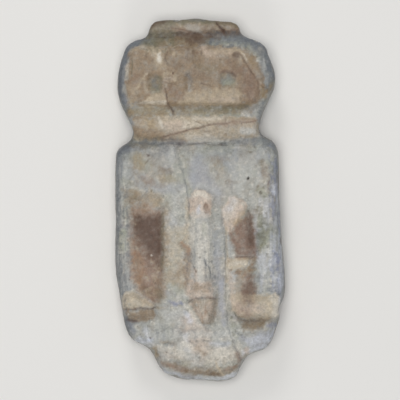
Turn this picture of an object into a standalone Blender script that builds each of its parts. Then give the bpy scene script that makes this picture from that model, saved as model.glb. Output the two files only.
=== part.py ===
"""Owl effigy: one slab of grey stone carved in low relief, lying on its back.

Metres, +Z up. The carved face looks up, +Y runs from the base to the crown and +X to the viewer's right.
The origin is on the underside, at the middle of the outline. The slab is a filled outline, extruded and remeshed.
Each of its points is then moved to the carving's own height, which is the sum of a long profile, the raised forms,
the sunk lines and the round of the edge.
"""

import bpy
import numpy as np
from mathutils import Vector, noise
from mathutils.geometry import interpolate_bezier

MM = 0.001

# Driving sizes, in millimetres
SLAB_THICKNESS = 34.5
CAMBER = 1.6  # how much lower the front is at the sides than along the middle
BACK_ROUND = (8.0, 8.5)  # how far in from the outline the back starts to rise, and by how much
BACK_BOW = 1.6  # how much higher the back is at the crown and the base than in the middle
REST_TRIM = 0.45  # what is ground off the back to make it flat
REST_CUTTER = (200.0, 360.0, 20.0)  # width, length and depth of the block that stands for what is ground off
HAND_WAVER = (22.0, 0.55)  # spacing and amount of the unevenness of a surface ground by hand
FRONT_PATTERN, BACK_PATTERN = 3.7, 8.2  # which pattern of unevenness each side has
BACK_WAVER_SHARE = 0.5  # how uneven the back is, as a share of the front
CARVING_STEP = 1.25  # spacing of the points that are carved
LOOP_STEPS = 8  # straight stretches between two points of a smooth outline
SOLID_TRIANGLES = 8800
TRIANGLES_PER_SQUARE = 2

# Finish
STONE_COLOUR = (0.42, 0.39, 0.34, 1.0)
STONE_ROUGHNESS = 0.62

# The slab's outline, point by point, clockwise from the left end of the crown
OUTLINE = {
    "crown": [(-33.4, 126.8), (-26.0, 128.6), (-13.0, 129.0), (-3.2, 130.1), (6.0, 128.9), (16.0, 128.0)],
    "crown_right": [(24.5, 126.9), (28.0, 124.2), (29.8, 119.8)],
    "temple_right": [(33.2, 117.3), (41.5, 114.1), (46.8, 110.0), (50.2, 102.6)],
    "cheek_right": [(53.8, 91.5), (53.5, 81.0), (49.3, 71.0)],
    "neck_right": [(42.6, 52.6), (42.9, 48.6), (46.4, 45.3)],
    "shoulder_right": [(53.0, 41.2), (55.8, 35.6), (56.7, 25.0)],
    "flank_right": [(56.9, 5.0), (58.2, -22.0), (60.1, -46.0), (60.9, -64.0), (59.9, -70.8)],
    "foot_notch": [(57.3, -76.8), (57.2, -85.5)],
    "hip_right": [(54.4, -94.0), (51.0, -102.2), (46.5, -106.9), (39.0, -109.6)],
    "base_right": [(33.8, -112.2), (31.4, -116.5), (25.3, -127.0), (19.5, -129.6)],
    "base_left": [(4.0, -129.8), (-20.5, -126.7), (-28.0, -121.7), (-31.9, -114.0), (-35.6, -107.4)],
    "hip_left": [(-41.8, -103.6), (-48.6, -100.4), (-52.4, -94.6)],
    "flank_left": [(-55.2, -83.0), (-60.3, -50.0), (-60.7, -12.0), (-60.5, 27.0)],
    "shoulder_left": [(-59.6, 34.4), (-55.6, 38.9), (-50.0, 42.6)],
    "neck_left": [(-48.1, 46.4), (-48.9, 52.4)],
    "cheek_left": [(-54.0, 62.6), (-58.4, 73.4), (-59.4, 83.0)],
    "temple_left": [(-55.4, 103.2), (-52.6, 109.6), (-46.6, 114.3), (-39.0, 117.0)],
    "crown_left": [(-36.4, 122.5)],
}

# Height of the bare front along the middle: (y, height), from the foot of the base to the crown
LONG_PROFILE = [
    (-131.0, 25.0),
    (-121.0, 28.4),
    (-110.0, 30.8),
    (-104.5, 31.2),
    (-98.0, 32.6),
    (-86.0, 33.6),
    (0.0, 34.5),
    (33.0, 33.9),
    (38.5, 32.2),
    (41.0, 30.4),
    (43.5, 31.4),
    (49.0, 33.6),
    (55.5, 34.6),
    (57.8, 33.8),
    (59.8, 31.2),
    (62.0, 30.4),
    (66.0, 30.8),
    (69.0, 32.6),
    (84.0, 33.6),
    (104.0, 33.2),
    (110.0, 31.4),
    (116.5, 28.8),
    (118.6, 28.6),
    (120.6, 30.6),
    (131.0, 30.2),
]
PROFILE_SOFTENING = 1.5  # half the window over which the long profile is averaged
PROFILE_SAMPLES = 9  # how many heights that average is taken from

# Round of the front's edge: (y, how far in it starts, how far it falls)
FRONT_ROUND = [
    (-128.0, 6.5, 7.5),
    (-100.0, 8.5, 9.0),
    (30.0, 9.0, 9.5),
    (50.0, 5.5, 6.5),
    (80.0, 9.5, 10.0),
    (112.0, 8.5, 9.0),
    (122.0, 4.0, 4.5),
]

# The face stands out as a flat panel with a bevelled rim
FACE_PANEL = {
    "outline": [
        (-48.9, 109.6), (-35.8, 111.1), (-3.6, 111.4), (25.8, 110.4), (35.8, 107.5), (43.0, 97.5), (46.9, 86.0),
        (47.3, 76.7), (41.6, 69.9), (32.2, 66.4), (-7.2, 66.0), (-43.0, 66.2), (-51.6, 70.2), (-53.8, 81.0),
        (-51.6, 96.0),
    ],
    "height": 2.7,
    "slope": 5.0,
}

# Raised limbs: each follows a spine of (x, y, half width), and slope is the width over which it rounds off
LIMBS = {
    "left_leg": {"spine": [(-36.5, -3.6, 9.7), (-37.0, -22.9, 12.2), (-36.2, -46.6, 11.8), (-34.0, -65.9, 7.9)],
                 "height": 3.6, "slope": 7.5},
    "left_foot": {"spine": [(-49.4, -75.6, 10.0), (-35.8, -79.5, 6.8)], "height": 4.8, "slope": 5.5},
    "right_leg": {"spine": [(26.9, -7.2, 9.3), (28.7, -28.7, 11.5), (29.0, -46.6, 11.5), (28.7, -73.0, 10.8)],
                  "height": 4.2, "slope": 7.0},
    "right_foot": {"spine": [(31.0, -77.4, 9.7), (54.5, -76.7, 9.0)], "height": 5.4, "slope": 6.5},
    "tail": {"spine": [(0.9, 0.7, 8.6), (1.4, -28.7, 7.7), (1.4, -60.2, 6.8)], "height": 3.2, "slope": 5.0},
    "tail_tip": {"spine": [(2.2, -69.5, 11.0), (4.3, -83.8, 6.8)], "height": 5.0, "slope": 6.5},
}
FORM_FULLNESS = 0.6  # 1 rounds a raised form off like a wave, and less than 1 gives it a firmer edge

# Sunk lines: the path of each, its depth and its half width
SUNK_LINES = {
    "under_crown": {"path": [(-37.0, 118.2), (-10.0, 117.4), (30.0, 118.4)], "depth": 1.2, "half_width": 1.8},
    "under_chin": {"path": [(-48.0, 65.4), (0.0, 64.6), (40.0, 65.8)], "depth": 0.9, "half_width": 2.0},
    "under_collar": {"path": [(-50.0, 43.0), (-20.0, 41.2), (18.0, 40.3), (47.0, 44.6)],
                     "depth": 1.4, "half_width": 1.9},
    "tail_ring": {"path": [(-8.6, -72.4), (0.0, -69.8), (8.7, -68.8), (12.8, -70.0)],
                  "depth": 1.2, "half_width": 1.4},
    "left_foot_fold": {"path": [(-55.0, -78.4), (-42.0, -77.4), (-31.5, -75.9)], "depth": 1.3, "half_width": 1.4},
    "hip_step": {"path": [(-31.5, -75.9), (-20.0, -73.8), (-9.3, -72.6)], "depth": 0.5, "half_width": 1.6},
    "above_base": {"path": [(-37.0, -103.6), (-10.0, -102.8), (20.0, -104.2), (40.0, -108.4)],
                   "depth": 0.5, "half_width": 2.6},
}

# Sunk pits: middle, half width and half height, and depth
PITS = {
    "left_eye": {"middle": (-32.2, 83.5), "half_size": (5.2, 6.3), "depth": 2.2},
    "right_eye": {"middle": (19.4, 85.4), "half_size": (5.9, 5.8), "depth": 2.4},
    "beak": {"middle": (-8.2, 84.0), "half_size": (2.8, 6.4), "depth": 1.4},
    "face_hollow": {"middle": (-2.5, 91.4), "half_size": (47.0, 14.7), "depth": 1.0},
}
PIT_WALL = (0.6, 1.15)  # where a pit's wall ends and starts, as a share of its half size
PIT_SQUARENESS = 3.0  # 2 makes a pit an ellipse, and more squares it off


def clear_scene():
    for old in list(bpy.data.objects):
        bpy.data.objects.remove(old, do_unlink=True)


def new_collection(name):
    made = bpy.data.collections.new(name)
    bpy.context.scene.collection.children.link(made)
    return made


def stone_material():
    """Pale grey stone with a warm cream cast, between matt and softly polished."""
    material = bpy.data.materials.new("weathered_stone")
    material.use_nodes = True
    shader = material.node_tree.nodes["Principled BSDF"]
    shader.inputs["Base Color"].default_value = STONE_COLOUR
    shader.inputs["Roughness"].default_value = STONE_ROUGHNESS
    shader.inputs["Metallic"].default_value = 0.0
    material.diffuse_color = STONE_COLOUR
    return material


def smooth_curve(name, points):
    """A closed flat curve that passes smoothly through the points, which are in millimetres."""
    curve = bpy.data.curves.new(name, "CURVE")
    curve.dimensions = "2D"
    curve.resolution_u = LOOP_STEPS
    spline = curve.splines.new("BEZIER")
    spline.bezier_points.add(len(points) - 1)
    for knot, (x, y) in zip(spline.bezier_points, points):
        knot.co = (x * MM, y * MM, 0.0)
        knot.handle_left_type = knot.handle_right_type = "AUTO"
    spline.use_cyclic_u = True
    return curve


def loop_of(curve):
    """The closed curve as a fine chain of points, in millimetres."""
    knots = list(curve.splines[0].bezier_points)
    chain = []
    for here, there in zip(knots, knots[1:] + knots[:1]):
        stretch = interpolate_bezier(here.co, here.handle_right, there.handle_left, there.co, LOOP_STEPS + 1)
        chain += [(point.x / MM, point.y / MM) for point in stretch[:-1]]
    return chain


def evaluated_mesh(source):
    """The mesh that an object's modifiers make, with its placement applied."""
    bpy.context.view_layer.update()
    graph = bpy.context.evaluated_depsgraph_get()
    mesh = bpy.data.meshes.new_from_object(source.evaluated_get(graph))
    mesh.transform(source.matrix_world)
    return mesh


def blank_slab(outline, collection):
    """The flat slab before carving, from its back at 0 to its full thickness, remeshed into even points."""
    outline.fill_mode = "BOTH"
    outline.extrude = SLAB_THICKNESS / 2 * MM
    guide = bpy.data.objects.new("slab_guide", outline)
    guide.location.z = SLAB_THICKNESS / 2 * MM
    collection.objects.link(guide)
    slab = bpy.data.objects.new("slab_blank", evaluated_mesh(guide))
    collection.objects.link(slab)
    remesh = slab.modifiers.new("even_points", "REMESH")
    remesh.mode = "VOXEL"
    remesh.voxel_size = CARVING_STEP * MM
    mesh = evaluated_mesh(slab)
    for helper in (guide, slab):
        bpy.data.objects.remove(helper)
    return mesh


def smooth_step(value):
    """0 below 0, 1 above 1, and an S-shaped rise between."""
    t = np.clip(value, 0.0, 1.0)
    return t * t * (3.0 - 2.0 * t)


def nearest_on_path(x, y, start, end):
    """How far along the straight stretch its point nearest to each point is, from 0 to 1, and how far away."""
    (ax, ay), (bx, by) = start, end
    dx, dy = bx - ax, by - ay
    along = np.clip(((x - ax) * dx + (y - ay) * dy) / (dx * dx + dy * dy), 0.0, 1.0)
    return along, np.hypot(x - ax - along * dx, y - ay - along * dy)


def path_distance(x, y, path):
    """Distance of each point to the nearest stretch of a path."""
    stretches = zip(path, path[1:])
    return np.min([nearest_on_path(x, y, start, end)[1] for start, end in stretches], axis=0)


def depth_in_loop(x, y, loop):
    """How far inside a closed loop each point is, negative outside it."""
    closed = loop + loop[:1]
    inside = np.zeros(x.shape, bool)
    for (ax, ay), (bx, by) in zip(closed, closed[1:]):
        if ay != by:
            inside ^= ((ay > y) != (by > y)) & (x < ax + (y - ay) * (bx - ax) / (by - ay))
    distance = path_distance(x, y, closed)
    return np.where(inside, distance, -distance)


def depth_in_limb(x, y, spine):
    """How far inside a limb each point is: its half width there, less the distance to its spine."""
    depth = np.full(x.shape, -np.inf)
    for (ax, ay, start_width), (bx, by, end_width) in zip(spine, spine[1:]):
        along, distance = nearest_on_path(x, y, (ax, ay), (bx, by))
        depth = np.maximum(depth, start_width + smooth_step(along) * (end_width - start_width) - distance)
    return depth


def raised_height(x, y):
    """Height that the face panel and the limbs add: at each point the tallest of them counts."""
    panel_loop = loop_of(smooth_curve("face_panel", FACE_PANEL["outline"]))
    depths = [(FACE_PANEL, depth_in_loop(x, y, panel_loop))]
    depths += [(limb, depth_in_limb(x, y, limb["spine"])) for limb in LIMBS.values()]
    heights = [form["height"] * smooth_step(depth / form["slope"]) ** FORM_FULLNESS for form, depth in depths]
    return np.max(heights, axis=0)


def sunk_depth(x, y):
    """Depth that the sunk lines and pits take away."""
    depth = np.zeros(x.shape)
    for line in SUNK_LINES.values():
        distance = path_distance(x, y, line["path"])
        depth += line["depth"] * np.exp(-((distance / line["half_width"]) ** 2))
    wall_end, wall_start = PIT_WALL
    for pit in PITS.values():
        (middle_x, middle_y), (half_x, half_y) = pit["middle"], pit["half_size"]
        across = np.abs((x - middle_x) / half_x) ** PIT_SQUARENESS
        upward = np.abs((y - middle_y) / half_y) ** PIT_SQUARENESS
        reach = (across + upward) ** (1.0 / PIT_SQUARENESS)
        depth += pit["depth"] * smooth_step((wall_start - reach) / (wall_start - wall_end))
    return depth


def long_profile(y):
    """The bare front's height, with the corners between the profile's stations averaged away."""
    stations, levels = zip(*LONG_PROFILE)
    window = np.linspace(-PROFILE_SOFTENING, PROFILE_SOFTENING, PROFILE_SAMPLES)
    return np.mean([np.interp(y + shift, stations, levels) for shift in window], axis=0)


def edge_fall(depth_in, reach, fall):
    """How far a surface falls towards the outline: a quarter of an ellipse."""
    t = np.clip(1.0 - depth_in / reach, 0.0, 1.0)
    return fall * (1.0 - np.sqrt(1.0 - t * t))


def hand_waver(x, y, pattern):
    """The slight unevenness of a surface ground by hand."""
    spacing, amount = HAND_WAVER
    return np.array([amount * noise.noise(Vector((px / spacing, py / spacing, pattern))) for px, py in zip(x, y)])


def carve(mesh, rim):
    """Moves the slab's points to the carving's heights. A point keeps its share of the way from back to front."""
    points = np.empty(len(mesh.vertices) * 3, np.float32)
    mesh.vertices.foreach_get("co", points)
    points = points.reshape(-1, 3).astype(float) / MM
    x, y = points[:, 0], points[:, 1]
    rim_low, rim_high = np.min(rim, axis=0), np.max(rim, axis=0)
    share = np.clip(points[:, 2] / SLAB_THICKNESS, 0.0, 1.0)
    depth_in = np.maximum(depth_in_loop(x, y, rim), 0.0)
    stations, reaches, falls = zip(*FRONT_ROUND)
    front = long_profile(y) - CAMBER * (x / rim_high[0]) ** 2
    front += raised_height(x, y) - sunk_depth(x, y) + hand_waver(x, y, FRONT_PATTERN)
    front -= edge_fall(depth_in, np.interp(y, stations, reaches), np.interp(y, stations, falls))
    back = edge_fall(depth_in, *BACK_ROUND) + BACK_BOW * np.abs(y / rim_high[1]) ** 3
    back += hand_waver(x, y, BACK_PATTERN) * BACK_WAVER_SHARE - REST_TRIM
    points[:, 2] = back + share * (front - back)
    points[:, :2] -= (rim_low + rim_high) / 2
    mesh.vertices.foreach_set("co", (points * MM).astype(np.float32).ravel())
    mesh.update()


def rest_plane_cutter(collection):
    """A block whose top is at height 0, where it grinds the back flat."""
    width, length, depth = REST_CUTTER
    bpy.ops.mesh.primitive_cube_add(size=1.0)
    block = bpy.context.active_object
    block.name = "rest_plane_cutter"
    block.scale = (width * MM, length * MM, depth * MM)
    block.location = (0.0, 0.0, -depth / 2 * MM)
    bpy.ops.object.transform_apply(location=True, rotation=False, scale=True)
    for home in list(block.users_collection):
        home.objects.unlink(block)
    collection.objects.link(block)
    block.hide_render = True
    block.display_type = "WIRE"
    return block


def build_effigy():
    clear_scene()
    parts = new_collection("owl_effigy")
    helpers = new_collection("cutters_and_guides")
    outline = smooth_curve("slab_outline", [point for stretch in OUTLINE.values() for point in stretch])
    mesh = blank_slab(outline, helpers)
    carve(mesh, loop_of(outline))
    mesh.materials.append(stone_material())
    mesh.shade_smooth()
    effigy = bpy.data.objects.new("owl_effigy", mesh)
    parts.objects.link(effigy)
    fewer = effigy.modifiers.new("fewer_triangles", "DECIMATE")
    fewer.ratio = SOLID_TRIANGLES / (TRIANGLES_PER_SQUARE * len(mesh.polygons))
    flat_back = effigy.modifiers.new("flat_back", "BOOLEAN")
    flat_back.operation = "DIFFERENCE"
    flat_back.object = rest_plane_cutter(helpers)


build_effigy()
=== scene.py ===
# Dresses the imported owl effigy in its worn, stained stone and lights it for a camera straight above it.
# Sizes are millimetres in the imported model's own x, y and z, unless a note says otherwise.
from itertools import product

import bmesh
import bpy
import numpy as np
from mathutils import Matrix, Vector


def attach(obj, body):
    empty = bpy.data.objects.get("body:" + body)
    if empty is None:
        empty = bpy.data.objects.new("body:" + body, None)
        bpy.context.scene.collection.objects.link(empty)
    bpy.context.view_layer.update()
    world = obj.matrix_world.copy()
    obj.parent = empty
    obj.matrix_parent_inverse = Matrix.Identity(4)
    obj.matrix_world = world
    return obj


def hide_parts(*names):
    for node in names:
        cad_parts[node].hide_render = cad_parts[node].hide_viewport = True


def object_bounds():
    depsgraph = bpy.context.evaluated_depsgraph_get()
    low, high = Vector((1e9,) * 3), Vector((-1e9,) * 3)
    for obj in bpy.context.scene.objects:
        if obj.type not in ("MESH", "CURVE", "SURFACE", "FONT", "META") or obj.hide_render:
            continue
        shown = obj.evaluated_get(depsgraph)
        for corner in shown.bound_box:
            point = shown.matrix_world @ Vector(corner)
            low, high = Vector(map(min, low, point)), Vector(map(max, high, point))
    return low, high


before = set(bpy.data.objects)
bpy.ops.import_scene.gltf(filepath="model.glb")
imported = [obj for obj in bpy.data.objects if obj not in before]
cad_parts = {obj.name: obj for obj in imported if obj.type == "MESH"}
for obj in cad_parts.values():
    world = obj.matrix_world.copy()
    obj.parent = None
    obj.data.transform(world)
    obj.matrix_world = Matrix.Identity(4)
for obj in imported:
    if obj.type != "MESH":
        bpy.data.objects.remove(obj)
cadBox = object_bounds()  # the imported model's box, before anything is added
mm = 0.001


# Camera and light

studio = {
    "figurePixels": 362.8,  # how tall the figure is in the photograph, which is 400 pixels wide
    "photoPixels": 400.0,
    "cameraHeight": 3000.0,
    "viewEnd": 30000.0,  # the camera shows nothing further off than this
    "outlineHeight": 14.0,  # the stone is widest about here, so this height is what the frame is fitted to
    "sensor": 36.0,
    "aim": (0.0, 0.0, 20.0),
    # a light's place, its width, its power in watts and its colour
    "lights": {
        "overheadBox": ((-100.0, 0.0, 1900.0), 1000.0, 19.0, (1.0, 0.985, 0.955)),
        "crownSide": ((-300.0, 1600.0, 1200.0), 700.0, 9.0, (1.0, 0.98, 0.95)),
        "baseSide": ((-150.0, -1600.0, 1200.0), 700.0, 5.2, (1.0, 0.98, 0.95)),
    },
    "skyColour": (0.90, 0.94, 1.0),
    "skyStrength": 0.30,
}


def placeCamera():
    lowest, highest = cadBox
    frameWidth = (highest.y - lowest.y) / mm * studio["photoPixels"] / studio["figurePixels"]
    lens = bpy.data.cameras.new("overheadCamera")
    lens.sensor_width = studio["sensor"]
    lens.lens = studio["sensor"] * (studio["cameraHeight"] - studio["outlineHeight"]) / frameWidth
    lens.clip_end = studio["viewEnd"] * mm
    camera = bpy.data.objects.new("overheadCamera", lens)
    camera.location = (0.0, 0.0, studio["cameraHeight"] * mm)
    bpy.context.scene.collection.objects.link(camera)
    bpy.context.scene.camera = camera


def placeLights():
    for name, (place, width, power, colour) in studio["lights"].items():
        lamp = bpy.data.lights.new(name, "AREA")
        lamp.shape = "DISK"
        lamp.size = width * mm
        lamp.energy = power
        lamp.color = colour
        light = bpy.data.objects.new(name, lamp)
        light.location = Vector(place) * mm
        light.rotation_mode = "QUATERNION"
        light.rotation_quaternion = (Vector(studio["aim"]) - Vector(place)).to_track_quat("-Z", "Y")
        light.visible_camera = False
        bpy.context.scene.collection.objects.link(light)
    sky = bpy.data.worlds.new("studioSky")
    sky.use_nodes = True
    background = sky.node_tree.nodes["Background"]
    background.inputs["Color"].default_value = (*studio["skyColour"], 1.0)
    background.inputs["Strength"].default_value = studio["skyStrength"]
    bpy.context.scene.world = sky
    bpy.context.scene.view_settings.view_transform = "Standard"


# Node maths

class Wire:  # wraps one output socket, so that arithmetic on it adds Math nodes
    def __init__(self, tree, socket=None):
        self.tree = tree
        self.socket = socket

    # adds any node: its settings come first, then the values or links of its sockets
    def node(self, kind, settings=None, sockets=None, output=0):
        made = self.tree.nodes.new(kind)
        for name, setting in (settings or {}).items():
            setattr(made, name, setting)
        for key, value in (sockets or {}).items():
            if isinstance(value, Wire):
                self.tree.links.new(value.socket, made.inputs[key])
            else:
                made.inputs[key].default_value = value
        return Wire(self.tree, made.outputs[output])

    def maths(self, operation, *terms):
        return self.node("ShaderNodeMath", {"operation": operation}, dict(enumerate(terms)))

    def __add__(self, other):
        return self.maths("ADD", self, other)

    def __sub__(self, other):
        return self.maths("SUBTRACT", self, other)

    def __rsub__(self, other):
        return self.maths("SUBTRACT", other, self)

    def __mul__(self, other):
        return self.maths("MULTIPLY", self, other)

    __radd__ = __add__
    __rmul__ = __mul__

    def limited(self):  # kept between 0 and 1
        return self.node("ShaderNodeClamp", None, {"Value": self})

    def between(self, start, end):  # 0 up to start, 1 from end on, and a smooth rise between
        sockets = {"Value": self, "From Min": start, "From Max": end}
        return self.node("ShaderNodeMapRange", {"interpolation_type": "SMOOTHSTEP"}, sockets)

    # a colour between two colours: in a colour mix they are sockets 6 and 7, and output 2 is the result
    def mixed(self, first, second, amount):
        return self.node("ShaderNodeMix", {"data_type": "RGBA"}, {0: amount, 6: first, 7: second}, 2)

    def brightened(self, factor):  # a colour times a number
        return self.node("ShaderNodeVectorMath", {"operation": "SCALE"}, {0: self, "Scale": factor})

    def grain(self, place, spacing, detail, rough):  # noise from 0 to 1 around 0.5
        sockets = {"Vector": place, "Scale": 1.0 / (spacing * mm), "Detail": detail, "Roughness": rough}
        return self.node("ShaderNodeTexNoise", None, sockets)

    def stored(self, name):  # the values that a mesh holds under this name
        return self.node("ShaderNodeAttribute", {"attribute_name": name}, output="Fac")


def linearColour(red, green, blue):  # an 8-bit colour on screen, through the sRGB curve to a shader's colour
    shares = [part / 255.0 for part in (red, green, blue)]
    return (*(((s + 0.055) / 1.055) ** 2.4 if s > 0.04045 else s / 12.92 for s in shares), 1.0)


# The stone

effigy = {
    "pointStep": 1.5,  # spacing of the points all over; the carved side has half of it
    "carvedSide": 0.3,  # a face whose normal points up by more than this is on the carved side
    "facetSmoothing": (14, (0.5, -0.52)),  # rounds that smooth the facets away, and their pull and push
    "wander": (3.5, 0.55, 31),  # spacing, amount and seed of how lines and patches wander
    "highestNoise": 0.55,  # layered noise hardly rises above this, so patches cut off there cover nothing
    # how the carving's lines, pits and chips are cut
    "plungeFrom": (0.12, 0.42),  # the upward normals between which they come in
    "lineBreaks": (4.0, 0.45, 33),  # spacing, amount and seed of how a line gets deeper and shallower
    "lineEnds": (-2.0, 3.0),  # the distances from its end between which a line comes up to its depth
    "pitWall": (1.35, 0.5),  # where a pit's wall starts and ends, as a share of its half size
    "chipSoftness": 0.2,
    "outlineEdge": 4.0,  # width of the soft edge of an outline that chips or streaks keep to
    # how the surface is worn and was worked: each has its spacing, amount and seed, in this order
    "waver": [(17.0, 0.3, 41), (7.0, 0.2, 42), (3.2, 0.1, 43)],  # the unevenness all over
    "waverInwards": 0.6,  # how far it is moved inwards, in shares of its amount
    "pecking": (2.4, 0.16, 51),  # the small hollows left by the hammerstone
    "peckRise": (0.15, 0.6),  # the noise between which a hollow gets its depth
    "peckPlaces": (25.0, 0.4, 52),  # here the amount is what is left of the pecking where there is least
    "peckPlacesRise": (-0.3, 0.4),
    "sideness": (0.15, 0.7),  # how far from level a surface is where the next two come in
    "edgeNicks": (5.8, 1.1, 53),  # the small chips along the rim
    "nickRise": (0.35, 0.9),
    "bedding": (3.4, 0.22, 54),  # the layers that show on the sides
    "beddingStretch": (0.08, 0.08, 1.0),  # drawn out sideways, the noise runs in level layers
    # how the tones are painted on
    "normalRounds": 4,  # rounds of smoothing of the normals that the next two look at
    "stainsFrom": (0.05, 0.4),  # the upward normals between which the carved side's stains come in
    "backFrom": (-0.35, 0.1),  # the downward normals between which the back's clouds come in
    "cloudSoftness": 0.25,
    "backSoftness": 0.2,
    "streakSoftness": 0.3,
    "streakStretch": 6,  # how much longer streaks are than their spacing
    "raggedness": (3.0, 0.35, 61),  # spacing, amount and seed of how a stain's edge wanders
    "raggedUpTo": 4.0,  # a stain's edge wanders more the wider it is, up to this width
    "thinness": (2.4, 0.25, 62),  # spacing, amount and seed of how a stain gets thinner and thicker
    "thinnessRange": (0.5, 0.88, 1.0),  # the least, the middle and the most that is left of it
    "rimShadeTone": ("slate", 0.45, 0.95),  # painted shade on the rims: its tone, and the upward normals between which it fades out
    "rimRounds": 30,  # rounds of smoothing after which only the figure's own rim still turns away
    "rimShadeStrength": ((-0.6, 0.1), (0.0, 0.65), (0.6, 0.85)),  # the painted shade on a rim facing the base, neither way and the crown, darkest towards the crown
    "rimShadeSides": ((-0.5, 1.0), (0.5, 0.65)),  # what that is multiplied by on a rim that faces left and right, so the painted shade is darker on the left
    "rimShadeOnBack": 0.5,  # how much weaker it is on the back
    "proudness": (8, 0.35),  # rounds of smoothing that a point is set against, and the height that is 1
    "calmEdge": 8.0,  # width of the edge of a calm place
    # the shader's own noises: their spacing, detail and roughness
    "mottle": (3.0, 4.0, 0.62),
    "fineGrain": (1.4, 3.0, 0.6),
    "flecks": (2.2, 2.0, 0.6),
    "fleckRise": (0.6, 0.75),  # the noise between which a fleck comes in
    "toneRaggedness": 3.0,  # how much the mottle breaks up the edges between tones
    # how strongly each of them shows in the brightness
    "mottleShare": 0.5,
    "fineShare": 0.82,
    "fleckShare": 0.23,
    "proudLightHollowShade": 0.12,  # painted highlight and shade: how much brighter what stands proud is, and how much darker a hollow
    "roughness": 0.62,
    "mottledRoughness": 0.2,  # how far the mottle changes it
    "proudGloss": 0.08,  # how much smoother what stands proud is
    "specularLevel": 0.3,
    "grainDepth": 0.12,  # how deep the shader's own fine grain looks
}

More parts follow.
